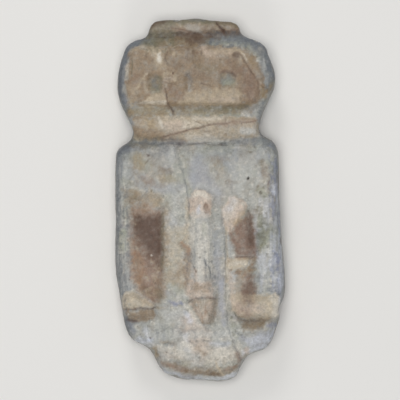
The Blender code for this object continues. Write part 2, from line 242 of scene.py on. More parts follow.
# Each line: depth, half width, the tone in it, that tone's strength, and its path. A depth below 0 stands up
effigy["lines"] = {
    "crownCrack": (1.2, 0.9, "umber", 0.95, [
        (11, 129.6), (13, 125.4), (15.2, 122.4), (17.2, 119.4), (18.6, 117)]),
    "crownScratch": (0.3, 0.8, "mauve", 0.2, [(-20, 123), (-17, 122), (-12, 120.8), (-5, 119)]),
    "crownGroove": (0.5, 1.2, "umber", 0.3, [
        (-38, 117.2), (-17, 117.5), (-8, 118), (0, 117.4), (11, 117.2), (18, 118.3), (31, 118.9)]),
    "browCrack": (0.4, 0.6, "umber", 0.4, [(-22.6, 106.4), (-24.4, 102), (-24.2, 99), (-22.8, 95.8)]),
    "templeLine": (0.35, 0.6, "olive", 0.5, [(-48.6, 88), (-49.2, 94), (-48.8, 100)]),
    "noseCrack": (0.6, 0.6, "umber", 0.55, [
        (-25.4, 81.5), (-24.5, 75), (-23.5, 70), (-21.8, 67), (-19.2, 64), (-18.8, 60)]),
    "eyeCrack": (0.35, 0.55, "umber", 0.45, [(-28, 84.5), (-23, 83), (-20, 82.8), (-16, 82)]),
    "eyeEdge": (-0.3, 0.8, "cream", 0, [(-46, 79), (-43, 82.6), (-41, 87), (-36, 91)]),
    "beakCrack": (0.25, 0.5, "umber", 0.4, [(0, 84), (4, 82.4), (8, 80.8)]),
    "cheekCrack": (0.6, 0.6, "umber", 0.5, [
        (27.6, 105.4), (30.3, 101), (33.2, 96.6), (36, 92), (38.8, 88.6), (41.6, 84.2), (42.6, 77.5)]),
    "cheekBranch": (0.3, 0.5, "umber", 0.4, [(42.2, 83.4), (45, 81), (48.5, 79.4)]),
    "cheekEdge": (-0.3, 0.8, "cream", 0, [(37, 92), (44, 82.5)]),
    "collarCrack": (0.5, 0.6, "mauve", 0.35, [
        (43, 57.4), (36, 55.9), (32, 55.6), (24, 56), (19, 54.6), (12, 54.2), (6, 53.6), (3, 52.2),
        (-1, 51), (-6, 50.3), (-10, 49), (-16, 47.6), (-21, 46.2), (-26, 44.6)]),
    "collarCore": (0.2, 0.5, "umber", 0.3, [
        (13, 54.2), (6, 53.4), (3, 52), (-1, 50.9), (-7, 50), (-12, 48.2)]),
    "collarBranch": (0.3, 0.5, "umber", 0.5, [(-5, 57.2), (-1, 55.4), (1.5, 53.8), (3.4, 51.8)]),
    "collarTick": (0.3, 0.5, "mauve", 0.5, [(16.6, 60), (18, 57.5), (18.6, 54.6)]),
    "neckGroove": (0.45, 0.8, "slate", 0.35, [
        (-38, 40.4), (-20, 40.6), (-8, 40.4), (0, 41), (8, 40.3), (20, 39.9)]),
    "neckCore": (0.3, 0.7, "umber", 0.3, [(-17, 40.8), (-8, 40.4), (0, 40.6), (9, 39.8), (19, 39.4)]),
    "neckGrooveRight": (0.25, 0.9, "slate", 0.15, [(16, 39.9), (30, 42.6), (46, 43.9)]),
    "chestCrack": (0.5, 0.6, "slate", 0.45, [
        (-19.5, 41), (-17.8, 34), (-16.6, 30.5), (-14.8, 25.5), (-12.4, 20), (-11.2, 14), (-9.2, 6.5),
        (-8.6, 0), (-8.2, -7)]),
    "chestCrackTwin": (0.25, 0.5, "slate", 0.4, [(-17.4, 39), (-15.4, 31), (-13, 25), (-11, 19.5)]),
    "shoulderLine": (0.25, 0.5, "earth", 0.4, [(-34, 31.6), (-37, 28), (-40, 23.6)]),
    "flankTick": (0.3, 0.5, "umber", 0.4, [(48.8, 16), (49.2, 8)]),
    "leftLegEdge": (0.25, 0.8, "earth", 0.15, [(-25.4, -7), (-25.8, -28), (-26, -50)]),
    "rightLegLedge": (0.5, 0.55, "umber", 0.5, [(24.5, -40.9), (31, -40.4), (38.5, -40.8)]),
    "flankLine": (0.2, 0.6, "slate", 0.3, [(15.8, -10), (16.4, -20), (17.2, -34), (17.8, -46)]),
    "flankCrack": (0.35, 0.6, "slate", 0.4, [
        (19, -78), (19.4, -86), (20.2, -91), (22, -97), (24.6, -101.6), (26, -107), (28.6, -111.6),
        (31, -115.2)]),
    "flankRidge": (-0.45, 1.1, "cream", 0, [(18.6, -14), (19.4, -34), (19.6, -50), (19.4, -70)]),
    "tailEdge": (0.3, 0.8, "olive", 0.3, [(-8, -6), (-8.2, -9), (-7.6, -15)]),
    "tailCrack": (0.35, 0.6, "slate", 0.6, [
        (1.6, -40), (3.8, -44.6), (6.4, -47.8), (7.4, -51), (8.8, -57)]),
    "tailNick": (0.3, 0.5, "umber", 0.5, [(-5.4, -47), (-3.4, -52)]),
    "tipRing": (0.5, 0.7, "umber", 0.55, [(-9.8, -73.4), (-5, -71), (0, -69.9), (6, -69.4), (12.5, -70.4)]),
    "leftFootFold": (0.5, 0.8, "umber", 0.65, [
        (-56, -78.4), (-50, -78), (-46, -77.6), (-38, -77.2), (-30, -76.6)]),
    # painted shadow along the left foot's lower edge, with brown staining
    "leftFootSole": (0.15, 0.8, "umber", 0.5, [(-53, -85.6), (-48, -86.6), (-44, -86.8)]),
    # painted shadow under the right foot, with brown staining in the groove
    "rightFootSole": (0.4, 1.2, "umber", 0.25, [(27, -85.6), (38, -87.4), (48, -86.6)]),
    "heelRidge": (-0.4, 0.8, "cream", 0, [(21.5, -80), (24.5, -85), (28.4, -89.6)]),
    "heelTick": (0.3, 0.5, "slate", 0.5, [(24.6, -94), (28, -95.6), (31, -97.4)]),
    "baseScratch": (-0.3, 0.7, "cream", 0, [(11.6, -114), (12.6, -119), (17, -126)]),
    "baseCrackLow": (0.25, 0.5, "slate", 0.35, [(19, -113), (22, -118)]),
}

# Each pit: depth, squareness (2 is an ellipse), half width and height, middle, and its tone and strength
effigy["pits"] = {
    "leftEye": (-0.35, 2.4, 4.6, 5.6, (-32.2, 83.2), "olive", 0.35),
    "rightEye": (-0.55, 3, 5.0, 5.0, (19.6, 85.2), "moss", 0.3),
    "beakSlot": (0.15, 2, 2, 6.4, (-7.8, 84.6), "slate", 0),
    "tailSocket": (0.9, 2, 2, 3.6, (4.6, -5.4), "mauve", 0.5),
    "browPit": (0.6, 2, 2.7, 2.4, (25.8, 103.6), "umber", 0.6),
    "browSpeck": (0.5, 2, 0.8, 1.1, (-19.4, 90.4), "umber", 0.6),
    "chestHole": (1.3, 2, 0.9, 1.2, (34.4, 15.6), "sootAndShade", 1),
    "chestSpeckLeft": (0.4, 2, 1.6, 0.7, (-37, 32), "umber", 0.5),
    "chestSpeckLow": (0.5, 2, 0.7, 1, (-34.8, 6.4), "earth", 0.6),
    "shoulderSpeck": (0.4, 2, 1.2, 0.9, (36.2, 34.4), "earth", 0.35),
    "shoulderSpeckHigh": (0.4, 2, 0.7, 1.3, (39.4, 38.4), "earth", 0.35),
    "flankSpeck": (0.5, 2, 0.8, 1.2, (43.3, 5.4), "umber", 0.6),
    "tailSpeck": (0.5, 2, 0.8, 0.8, (0, -40.8), "umber", 0.5),
    "tailSpeckLow": (0.4, 2, 0.7, 1.2, (-3.6, -51), "umber", 0.5),
    "streakSpeck": (0.4, 2, 0.6, 1.2, (-11.6, -42.6), "earth", 0.4),
    "hipSpeck": (0.4, 2, 0.9, 0.6, (-36, -98), "umber", 0.6),
}

# Each place where a flake has come off: depth, width of its edge, and its outline
effigy["scars"] = {
    "chinFlake": (0.4, 1, [
        (-40.5, 71), (-38.8, 73.6), (-36, 75.2), (-31, 75.8), (-25.3, 76.6), (-24.6, 70), (-24, 66.5),
        (-40, 66)]),
    "cheekFlake": (0.3, 1, [
        (28, 104.6), (34, 96.4), (40, 88.2), (43, 83.2), (47, 84), (44, 96), (38, 104), (33, 107)]),
    "collarFlake": (0.3, 1, [
        (42, 56.6), (32, 55.6), (19, 54.6), (4, 52.4), (-6, 50), (-16, 47.4), (-25, 44.8), (-25, 42.5),
        (10, 42), (43, 44.5)]),
    "rightLegFlake": (0.35, 3, [
        (21, -24), (26, -17), (31, -8.5), (34.8, -8.2), (37.6, -16), (38.8, -38), (37.4, -40.6),
        (26, -40.6), (22.4, -33)]),
    "rightShinFlake": (0.25, 4, [(30, -54), (37.5, -53), (39, -62), (38.5, -74), (31, -74), (28.5, -66)]),
    "baseFlake": (0.15, 3, [
        (-29, -115), (-10, -118.4), (5, -119.4), (12, -119), (27, -117.6), (26, -121.6), (17, -126.4),
        (-8, -124.6), (-22, -121)]),
}

# Each place with many small chips: their depth, spacing, how much they cover, the tone in them and how
# strong that is, a seed, and the outline that they keep to
effigy["chipped"] = {
    "noseChips": (0.3, 2, 0.2, "earth", 0.2, 91, [(-27, 95), (-14, 95), (-14, 82), (-27, 82)]),
    "collarChips": (0.25, 2.2, 0.15, "tan", 0.25, 92, [(-12, 58), (4, 58), (20, 50), (20, 45), (-10, 44)]),
    "tailLeftChips": (0.4, 2.4, 0.2, "slate", 0.35, 93, [
        (-13, -10), (-7, -12), (-7, -30), (-3, -44), (-3, -58), (-10, -60)]),
    "tailRightChips": (0.4, 2.2, 0.2, "slate", 0.4, 94, [(3, -38), (11, -30), (14, -66), (5, -62)]),
    "shinChips": (0.3, 2, 0.25, "rust", 0.35, 95, [(20, -41), (39, -41), (39, -58), (20, -52)]),
    "flankChips": (0.4, 2.4, 0.25, "olive", 0.4, 96, [(40, 12), (48, 14), (50, -40), (41, -40)]),
    "rightRimChips": (0.3, 2.6, 0.25, "blue", 0.35, 97, [(49, 40), (58, 30), (61, -60), (50, -66)]),
    "leftRimChips": (0.3, 2.6, 0.25, "slate", 0.35, 98, [(-60, 10), (-52, 10), (-46, -62), (-58, -66)]),
    "heelChips": (0.45, 2.4, 0.25, "olive", 0.35, 99, [(20, -76), (26, -80), (32, -98), (22, -98)]),
    "leftShinChips": (0.25, 2.2, 0.15, "cream", 0.3, 101, [(-47, -42), (-27, -42), (-27, -70), (-42, -70)]),
    "lowChips": (0.3, 2.8, 0.2, "slate", 0.25, 102, [(-40, -92), (20, -90), (24, -106), (-34, -104)]),
    "baseChips": (0.3, 2.4, 0.2, "earth", 0.2, 103, [(-30, -108), (30, -110), (26, -124), (-22, -122)]),
}

# Each tone's colour on screen. The first is the bare stone, and the masks are mixed over it in this order
effigy["tones"] = {
    "grey": (166, 166, 160),
    "silver": (184, 184, 180),
    "lavender": (158, 160, 167),
    "slate": (104, 109, 115),
    "moss": (148, 150, 134),
    "blue": (132, 138, 162),
    "tan": (140, 121, 99),
    "ochre": (150, 130, 98),
    "cream": (184, 170, 148),
    "pink": (196, 179, 164),
    "ivory": (212, 206, 194),
    # pearl, a bluish white, is painted light where it runs along the rims
    "pearl": (204, 208, 218),
    "rust": (150, 116, 91),
    "mauve": (127, 104, 90),
    "olive": (110, 106, 86),
    "earth": (114, 98, 76),
    "umber": (91, 72, 62),
    # the darkest tone: it fills the chest hole, and on the left rims it is painted shade
    "sootAndShade": (48, 40, 34),
}

# Each patch: tone, strength, width of its edge, and a shape, which is a spine of (x, y, half width) or an
# outline of (x, y). A later patch goes over those before it
# Most patches are stains; the ones that are painted light or shade are marked where they stand
effigy["stains"] = [
    # crown
    ("tan", 0.8, 3, [(-32, 123.5, 6), (25, 123, 5.5)]),
    ("olive", 0.6, 4, [(-33, 123, 5), (-22, 124, 5)]),
    ("silver", 0.35, 3, [(-8, 123.5, 2.4), (-2, 122.5, 2.6)]),
    ("mauve", 0.55, 2.5, [(-20, 122.4, 1.2), (-14, 121.4, 1.5), (-7, 119.4, 1.2)]),
    ("earth", 0.35, 3, [(4, 119.6, 1.4), (14, 119.4, 1.4)]),
    ("earth", 0.4, 3, [(7, 125, 2.6), (16, 122.6, 2.6)]),
    ("olive", 0.8, 3, [(-34, 126.6, 1.6), (-14, 128, 2), (12, 127.6, 2), (26, 126, 1.8)]),
    ("slate", 0.4, 2, [(-8, 128.6, 1.2), (3, 128.6, 1.2)]),
    ("olive", 0.5, 3, [(-36, 124.6, 2), (-28, 127, 1.8)]),
    ("olive", 0.3, 3, [(-13, 127.6, 1.6), (-6, 127.6, 1.6)]),
    ("earth", 0.6, 3, [(14, 126.6, 1.8), (27, 125.6, 2)]),
    ("umber", 0.6, 2.5, [(3, 119.6, 1.2), (18, 120.2, 1.6), (27.6, 120.6, 1.3)]),
    ("umber", 0.6, 3, [(-36, 124.6, 2.2), (-27, 126.8, 2.4)]),
    ("umber", 0.35, 3, [(-37, 125.6, 1.6), (-24, 128, 1.5)]),
    ("umber", 0.3, 3, [(4, 121.4, 1.3), (13, 121.4, 1.5)]),
    # forehead; the slate along its top edge and corners is painted shade on rims that face the crown
    ("slate", 0.55, 4, [(-52, 107, 2), (-45, 113, 2.6), (-34, 116, 2.8), (30, 116, 3), (44, 111.5, 2.6)]),
    ("slate", 0.5, 5, [(-50, 108.6, 2.4), (-40, 113, 3), (-28, 114, 3)]),
    ("olive", 0.75, 4, [(-35, 115, 3.4), (-21, 115, 3.2)]),
    ("olive", 0.6, 4, [(-41, 111, 2), (-35, 108, 2.8), (-25, 111, 2.4)]),
    ("earth", 0.85, 4, [(-18, 113.8, 3.6), (2, 114.4, 3.8)]),
    ("ochre", 0.4, 5, [(-27, 112, 2.6), (-6, 112, 2.6)]),
    ("umber", 0.4, 3, [(-7, 115, 2.4), (0, 114.4, 2.6)]),
    ("slate", 0.65, 4, [(8, 114, 3.4), (28, 115.4, 4.2), (40, 111.6, 3.4)]),
    ("moss", 0.45, 4, [(7, 112.6, 3), (14, 111.6, 2.6), (28, 111.4, 2.4), (35, 110, 2)]),
    ("olive", 0.35, 4, [(20, 117, 1.6), (30, 116.6, 1.6)]),
    ("olive", 0.65, 2.5, [(-36, 117.6, 1.2), (-16, 117.5, 1.2)]),
    ("umber", 0.6, 2.2, [(-17, 117.3, 1), (-5, 117.7, 1.4), (11, 117.5, 0.9)]),
    ("umber", 0.35, 1.5, [(20, 118.5, 0.6), (29, 118.8, 0.6)]),
    ("slate", 0.35, 4, [(-47, 112, 2.4), (-37, 115, 2.4)]),
    ("earth", 0.5, 4, [(-30, 113.4, 2.6), (-25, 113.6, 2.6)]),
    ("slate", 0.35, 4, [(28, 114.6, 2.8), (37, 112.6, 2.4)]),
    ("slate", 0.85, 3, [(-53.4, 102.4, 1.8), (-50.4, 108.6, 2)]),
    ("umber", 0.5, 3, [(-6, 116, 1.4), (2, 116, 1.4)]),
    ("earth", 0.4, 3, [(-18, 116, 1.5), (13, 116, 1.5)]),
    ("slate", 0.4, 3, [(24, 116.2, 1.6), (37, 114.4, 1.8)]),
    ("olive", 0.45, 4, [(-39, 113, 2), (-33, 112, 2.4)]),
    ("olive", 0.4, 4, [(34, 108, 2.2), (42, 102, 2.2)]),
    ("umber", 0.3, 4, [(-6, 113.4, 2), (12, 114.6, 2)]),
    # temples; the slate along the head's side rims is painted shade
    ("slate", 0.6, 4, [(-55.5, 104, 2.5), (-58, 90, 3), (-57.6, 78, 3), (-53, 65, 3)]),
    ("slate", 0.9, 4, [
        (-52.6, 105.6, 2.2), (-55, 98, 3.4), (-57.4, 86, 2.6), (-57.4, 78, 2.4), (-54.6, 70, 1.8)]),
    ("silver", 0.25, 2, [(-54.4, 95, 0.8), (-55.4, 89, 0.8)]),
    ("slate", 0.78, 3.5, [(46, 109, 2.4), (50.4, 98, 3.4), (51.4, 88, 3.6), (49.6, 79, 3)]),
    ("slate", 0.62, 4, [(39, 108.4, 2.4), (44, 104, 2.6), (46.4, 95, 3.2), (46.4, 85, 3)]),
    ("olive", 0.4, 3, [(52, 86, 1.6), (49.6, 79.4, 2)]),
    ("silver", 0.4, 1.6, [(45, 101, 0.7), (46.4, 94, 0.7)]),
    ("slate", 0.3, 4, [(48, 72, 2.2), (43.6, 63, 2), (43, 58, 1.4)]),
    ("ochre", 0.5, 4, [(51, 82, 1.8), (49.6, 77, 2), (46, 73, 2)]),
    ("earth", 0.35, 3, [(51.6, 80, 1.6), (50.4, 76, 1.6)]),
    ("slate", 0.5, 3, [(-58.4, 93, 2), (-58.8, 82, 2.2), (-57.6, 74, 1.8)]),
    # the dark patch along this rim is painted shade
    ("sootAndShade", 0.22, 3, [(-57.4, 94, 2.2), (-58, 82, 2.2), (-57, 74, 1.8)]),
    ("lavender", 0.35, 2.4, [(-52.6, 72, 1.4), (-50.4, 67, 1.4)]),
    # face
    ("tan", 0.95, 3.5, [
        (-51, 104), (-47, 108), (-36, 109.6), (0, 110.5), (25, 109.5), (33, 107), (40, 101), (44, 92),
        (46.5, 83), (47.5, 76), (42, 69), (33, 66.5), (-43, 66.5), (-51, 70.5), (-53, 80), (-51.5, 95)]),
    ("umber", 0.4, 2, [(-39, 102.4, 1.4)]),
    ("cream", 0.45, 3, [(-49, 106.5, 1.4), (-42, 108.6, 1.8), (-34, 108, 2.2)]),
    ("ivory", 0.4, 1.6, [(-41.4, 109.4, 0.5), (-37, 106.4, 0.6)]),
    ("cream", 0.7, 3.5, [(-31.4, 106, 2.4), (-29.5, 100, 3.2)]),
    ("ivory", 1, 1.8, [(-29.4, 104.4, 0.7), (-29, 99.8, 1.5)]),
    ("ivory", 0.45, 2, [(-51.4, 96, 0.8), (-52, 89, 0.8)]),
    ("mauve", 0.3, 5, [(-46, 88, 3), (-48, 82, 3)]),
    ("earth", 0.45, 2.5, [(-23.6, 104.5, 1), (-23.4, 97, 1.6)]),
    ("cream", 0.5, 2, [(-15, 104, 1.2)]),
    ("earth", 0.4, 5, [(-7, 109, 2.6), (-5, 103, 2.6), (-2, 96, 3)]),
    ("pink", 0.55, 3.5, [(2, 108.4, 1.8), (5, 104.6, 2.4)]),
    ("pink", 0.3, 5, [(8, 104, 3), (20, 105, 3)]),
    ("cream", 0.35, 4, [(10, 106.5, 2.4), (22, 107, 2.4)]),
    ("olive", 0.3, 6, [(0, 90, 5), (8, 93, 4)]),
    ("cream", 0.5, 1.6, [(25, 109, 0.8), (31, 103.6, 0.9)]),
    ("umber", 0.4, 2, [(23.4, 102.4, 1.2), (26.4, 100, 1.2)]),
    ("ivory", 0.5, 1.2, [(30.6, 104.4, 0.5), (33.6, 99.6, 0.5)]),
    ("mauve", 0.6, 7, [(32, 93, 3.6), (35, 84, 5), (37, 75, 4.6)]),
    ("umber", 0.15, 5, [(39, 86, 2), (40, 78, 2.4)]),
    ("ochre", 0.6, 2.5, [(45, 79, 1.8), (45.6, 74, 2.2)]),
    ("cream", 0.35, 4, [(-50, 80, 2), (-46, 77, 2)]),
    ("mauve", 0.5, 5, [(-21, 79, 2.6), (-15, 75, 3)]),
    ("olive", 0.45, 4, [(-35.4, 108.6, 2), (-31, 109, 2)]),
    ("cream", 0.3, 3, [(23, 107.4, 1.8), (30, 107, 1.6)]),
    ("umber", 0.25, 5, [(-17, 97, 3), (-13, 95, 2.6)]),
    ("mauve", 0.4, 5, [(-4, 91, 3), (3, 87, 3)]),
    ("mauve", 0.5, 6, [(20, 98, 2.4), (27, 93, 3)]),
    ("earth", 0.35, 4, [(27, 96, 2.4), (24, 94, 2)]),
    ("cream", 0.3, 4, [(-50, 72, 1.6), (-46, 70.6, 1.6)]),
    ("cream", 0.35, 3, [(28.6, 100, 1.4), (26.6, 108, 1.6)]),
    ("cream", 0.35, 3, [(-29, 108, 1.6), (-24.6, 107, 1.4)]),
    ("ochre", 0.3, 4, [(35, 103, 2.2), (39, 97, 2.2)]),
    # eyes
    ("slate", 0.7, 3.5, [(-32.6, 86, 2), (-31.4, 80, 2)]),
    ("moss", 0.5, 3, [(-35.4, 80, 1.2), (-33, 77, 1.4), (-29, 78.4, 1.6)]),
    ("cream", 0.55, 1.6, [(-46, 79.4, 0.7), (-43.4, 82.6, 0.9), (-41, 87, 0.9), (-38.6, 89.4, 0.8)]),
    ("cream", 0.45, 2.4, [(-40, 86, 1.2), (-38.4, 77.4, 1.2)]),
    ("cream", 0.55, 2.2, [(-26, 89.4, 1.4), (-21.6, 90.4, 1.1)]),
    ("cream", 0.6, 1.8, [(-17.6, 89, 0.8), (-17.6, 85.6, 0.9)]),
    ("pink", 0.3, 3, [(-26, 85.4, 1.6), (-20.6, 86.4, 1.6)]),
    ("cream", 0.35, 3.5, [(-32, 96, 1.8), (-26, 93.4, 1.8)]),
    ("slate", 0.5, 3.5, [(-9, 90, 1.4), (-7.6, 84.6, 1.2)]),
    ("silver", 0.6, 2, [(-8, 81.6, 0.5), (-7.2, 78, 0.8)]),
    ("slate", 0.8, 5, [(17, 84, 2.4), (21, 86.4, 3)]),
    ("moss", 0.55, 4, [(17.4, 83, 1.8), (23, 83.4, 2.2)]),
    # mauve and umber along the right eye's upper edge, here and in the next line: painted shadow on the
    # pit's upper wall
    ("mauve", 0.6, 2.6, [(14.6, 91.2, 1), (20, 91.8, 1), (25.4, 90.8, 1)]),
    ("umber", 0.6, 2.4, [(17, 91.4, 1), (21, 90.8, 1.2), (24.8, 88.8, 1.1)]),
    ("silver", 0.25, 3, [(14.6, 84, 1.4), (15.6, 80.8, 1.2)]),
    ("olive", 0.65, 3, [(-28.4, 87, 1.6), (-28.2, 81, 1.4)]),
    # chin
    # cream along the chin's rolled lower edge, here and in the next line: painted light
    ("cream", 0.6, 4, [(-8, 73, 2.8), (12, 75.4, 4), (26, 75, 3.6)]),
    ("cream", 0.65, 3, [(-14, 69, 1.6), (10, 69.2, 1.8), (27, 69.8, 1.4)]),
    ("pink", 0.35, 4, [(8, 71, 1.8), (26, 71, 1.8)]),
    ("cream", 0.75, 1.6, [
        (-39.6, 70.4), (-38, 73.2), (-35, 75.2), (-30, 75.8), (-25.4, 76.4), (-24.8, 72), (-24, 68),
        (-38.6, 68)]),
    # ivory along the chin's lower edge: painted light on the slope that faces the base
    ("ivory", 0.5, 2.4, [(-43, 69, 0.9), (-36, 69.4, 1.4), (-25, 69.4, 1.2)]),
    ("cream", 0.55, 2, [(-51, 71, 0.9), (-48, 67.6, 1.1)]),
    ("ochre", 0.35, 4, [(-50, 66.4, 2.6), (-24, 66.6, 2), (10, 66.4, 2), (40, 67, 2)]),
    ("umber", 0.4, 2.4, [(-23.4, 67, 1.5), (-20, 64, 1.6)]),
    # earth, olive and umber under the chin's edge, here and in the next two lines: painted shadow, with dirt
    # in the groove there
    ("earth", 0.5, 3, [(-20, 65.8, 1.2), (-8, 66, 1.4)]),
    ("olive", 0.6, 3, [(0, 65, 1.2), (20, 65, 1.7), (34, 66, 1.7)]),
    ("umber", 0.2, 2, [(14, 66, 1), (32, 66.6, 1)]),
    ("olive", 0.6, 4, [(-50, 62, 3), (-40, 62.4, 2.8), (-24, 62.4, 2)]),
    ("tan", 0.55, 5, [(-50, 61, 2), (-44, 59, 2.4), (-36, 61, 1.8), (-26, 61, 1.4)]),
    ("slate", 0.35, 3, [(-18, 62, 1.8), (-5, 61.8, 1.6)]),
    ("moss", 0.6, 3, [(-4, 61.8, 1.8), (28, 61.6, 1.8)]),
    ("olive", 0.5, 3, [(-10, 64, 1.2), (10, 63.6, 1.4), (30, 64, 1.6)]),
    ("slate", 0.35, 3, [(6, 62.6, 1.2), (30, 62.6, 1.4)]),
    ("slate", 0.5, 5, [(34, 64, 2), (40, 65, 2.4), (45, 69.6, 2)]),
    ("ochre", 0.45, 5, [(-48, 62.4, 2.6), (-24, 62.4, 2.2), (8, 62.4, 2), (36, 63, 2)]),
    ("cream", 0.35, 3, [(-42, 65.6, 1.4), (-34, 66, 1.4)]),
    # collar
    ("cream", 0.6, 2.5, [
        (-46, 59), (-40, 60), (40, 59.6), (42, 52), (42, 45), (20, 43), (-14, 42), (-30, 41), (-48, 42),
        (-48.4, 52)]),
    ("tan", 0.35, 3, [(-46, 59), (40, 59), (42, 52), (43, 45), (20, 42), (-30, 41), (-48, 42), (-48, 52)]),
    ("cream", 0.5, 3, [(-24, 57, 2.6), (0, 56.4, 3), (20, 58, 1.6), (38, 58.4, 1.2)]),
    ("pink", 0.55, 4, [(-22, 53, 4), (-14, 52.5, 3.6)]),
    ("tan", 0.4, 3, [(-46, 58, 1.6), (-41, 57, 2)]),
    ("tan", 0.9, 5, [(-48, 50, 2), (-40, 46.6, 5), (-30, 46, 4)]),
    ("olive", 0.45, 4, [(-46, 43, 2.4), (-26, 42.6, 2.2)]),
    ("ochre", 0.6, 3, [(-38.6, 57.4, 1.6), (-36, 54.6, 2.6), (-32, 51.4, 1.6)]),
    ("ivory", 0.65, 1.8, [(-30, 58.4, 0.9), (-28.6, 55, 1.1), (-26.6, 52, 0.7)]),
    ("ivory", 0.5, 2.2, [(-5, 58.4, 1.2), (4, 58, 1.5), (16, 58.6, 1.2)]),
    ("ivory", 0.3, 2.4, [(-24, 58.6, 1), (-12, 58.6, 1)]),
    ("ivory", 0.5, 3, [(-10, 55, 1.8), (-4, 54, 1.6), (1, 53.4, 1.1)]),
    ("mauve", 0.5, 3, [(39, 57, 1.2), (30, 56, 1.9), (21, 55, 2), (10, 54, 1)]),
    ("mauve", 0.4, 2.4, [(6, 53.2, 0.9), (-4, 50.6, 1), (-14, 48.2, 1.4), (-26, 45, 1.8)]),
    ("silver", 0.75, 3, [(30, 48.6, 1.8), (38, 49.4, 2.4)]),
    ("ivory", 0.5, 3, [(-8, 46, 2), (0, 46.6, 2.4), (6, 46, 1.8)]),
    ("silver", 0.5, 3, [(-6, 43.6, 1.2), (12, 43.6, 1.6)]),
    ("umber", 0.4, 3, [(-27, 43, 1.6), (-17, 42.8, 1.8), (-11, 42, 1)]),
    ("cream", 0.45, 3, [(-10, 53, 1.6), (-2, 52.6, 1.6), (9, 51.4, 1.8)]),
    ("ochre", 0.4, 3, [(-6, 47.6, 1.8), (0, 48, 1.8)]),
    ("ivory", 0.4, 2.4, [(-12, 52, 1.6), (-8, 51.6, 1.4)]),
    ("tan", 0.35, 4, [(-46, 57, 1.8), (-38, 53.6, 2)]),
    # chest; the slate along the shoulders' top rims is painted shade
    ("slate", 0.6, 5, [(-58, 35, 2), (-50, 40, 2.4), (-44, 40.4, 1.6), (-30, 39.6, 1)]),
    ("slate", 0.6, 6, [(-58, 31, 3), (-52, 36, 3.6), (-42, 38, 2.4)]),
    ("olive", 0.65, 4, [(-51, 41, 1.8), (-42, 39.4, 2.4), (-32, 39.4, 1.6)]),
    ("slate", 0.4, 6, [(-52, 32, 4), (-40, 34, 4.4), (-31, 32, 4), (-24, 37, 3.4)]),
    ("slate", 0.62, 5, [(18, 41.4, 1.2), (32, 42, 2), (44, 41.6, 3), (52, 38, 2.6)]),
    ("mauve", 0.3, 3, [(-24, 40, 1.2), (-14, 39.4, 1.6)]),
    ("silver", 0.7, 2.6, [(-20.4, 37, 1.5), (-20.2, 29, 2.4)]),
    ("slate", 0.25, 4, [(-16, 36, 2), (-8, 35, 3)]),
    ("tan", 0.3, 8, [(-44, 28, 6), (-36, 24, 6), (-34, 14, 4)]),
    ("moss", 0.5, 6, [(-45, 30, 4), (-40, 24, 4)]),
    ("ochre", 0.45, 5, [(-44, 30, 3.4), (-44, 23, 3.6)]),
    ("earth", 0.35, 6, [(-51, 13, 2), (-46, 10, 3)]),
    ("silver", 0.45, 3.5, [(-54, 28, 1.4), (-53.6, 18, 1.8)]),
    ("earth", 0.5, 4, [(-27, 21, 2), (-22, 19.4, 2.4)]),
    ("moss", 0.5, 4, [(-25, 15, 2.4), (-21, 15, 2.4)]),
    ("ochre", 0.35, 5, [(-27, 15, 3), (-20, 14, 3)]),
    ("mauve", 0.35, 4, [(-40, 15.6, 2.6), (-35, 13, 3)]),
    ("lavender", 0.45, 5, [(-30, 8, 3), (-18, 8, 4), (-12, 10, 2.5)]),
    ("lavender", 0.7, 6, [(-2, 27, 5), (0, 15, 8), (6, 11, 5), (13, 5, 3)]),
    ("moss", 0.4, 6, [(4, 36, 3.4), (20, 36, 4)]),
    ("slate", 0.2, 6, [(0, 32, 5), (14, 33, 5), (27, 32, 5), (38, 31, 4)]),
    ("tan", 0.4, 5, [(8, 29.6, 2), (14, 28, 2.4)]),
    ("ochre", 0.3, 5, [(12, 24, 3), (15, 22, 2.6)]),
    ("silver", 0.35, 6, [(13, 12, 3), (21, 8, 3)]),
    ("silver", 0.4, 8, [(34, 27, 4.4), (35, 20, 5), (28, 10, 4)]),
    ("earth", 0.5, 3, [(43.6, 28, 1), (44.4, 20, 1.3)]),
    ("tan", 0.4, 4, [(47, 25, 2), (47, 18, 2.4)]),
    ("mauve", 0.4, 2, [(48.6, 16, 0.9), (49, 9, 0.9)]),
    ("slate", 0.4, 3, [(53, 28, 1.2), (53, 16, 1.4)]),
    ("pearl", 0.45, 2.4, [(54, 10, 1), (54, 4, 1)]),
    ("moss", 0.6, 3, [(43.4, 7, 2.4), (46, 3.6, 2.4)]),
    ("slate", 0.5, 4, [(-58, 34, 2.2), (-52, 37.4, 2.8)]),
    ("slate", 0.4, 5, [(-46, 41, 2), (-30, 41, 1.8), (-14, 41, 1.8)]),
    ("slate", 0.15, 6, [(14, 36.6, 3), (32, 36, 3.4), (50, 36.6, 3.4)]),
    ("slate", 0.2, 3, [(38, 42.4, 1.6), (52, 41, 2)]),
    ("earth", 0.3, 5, [(-46, 18, 3), (-40, 12, 3)]),
    ("tan", 0.35, 5, [(-27, 19, 3), (-27, 12, 3)]),
    ("earth", 0.35, 4, [(-47, 39, 2), (-39, 38.6, 1.8)]),
    ("slate", 0.55, 4, [(-58.6, 36, 2), (-53, 36, 2.4)]),
    ("slate", 0.4, 3, [(50.4, 26, 1.4), (50.8, -3, 1.5)]),
    ("slate", 0.2, 5, [(-28, 38.6, 2.2), (-16, 38.6, 2)]),
    ("silver", 0.6, 3, [(-1, 10, 1.8), (9, 8.6, 2)]),
    ("silver", 0.35, 4, [(12, 5, 2), (13, -2, 1.6)]),
    ("slate", 0.1, 8, [(-40, 38), (50, 34), (50, 20), (-30, 20)]),
    # the dark patch along the left shoulder's rim is painted shade
    ("sootAndShade", 0.25, 4, [(-58, 36.6, 2.2), (-53, 38.4, 2)]),
    ("slate", 0.3, 4, [(-48, 41.4, 1.8), (-12, 41.8, 1.6)]),
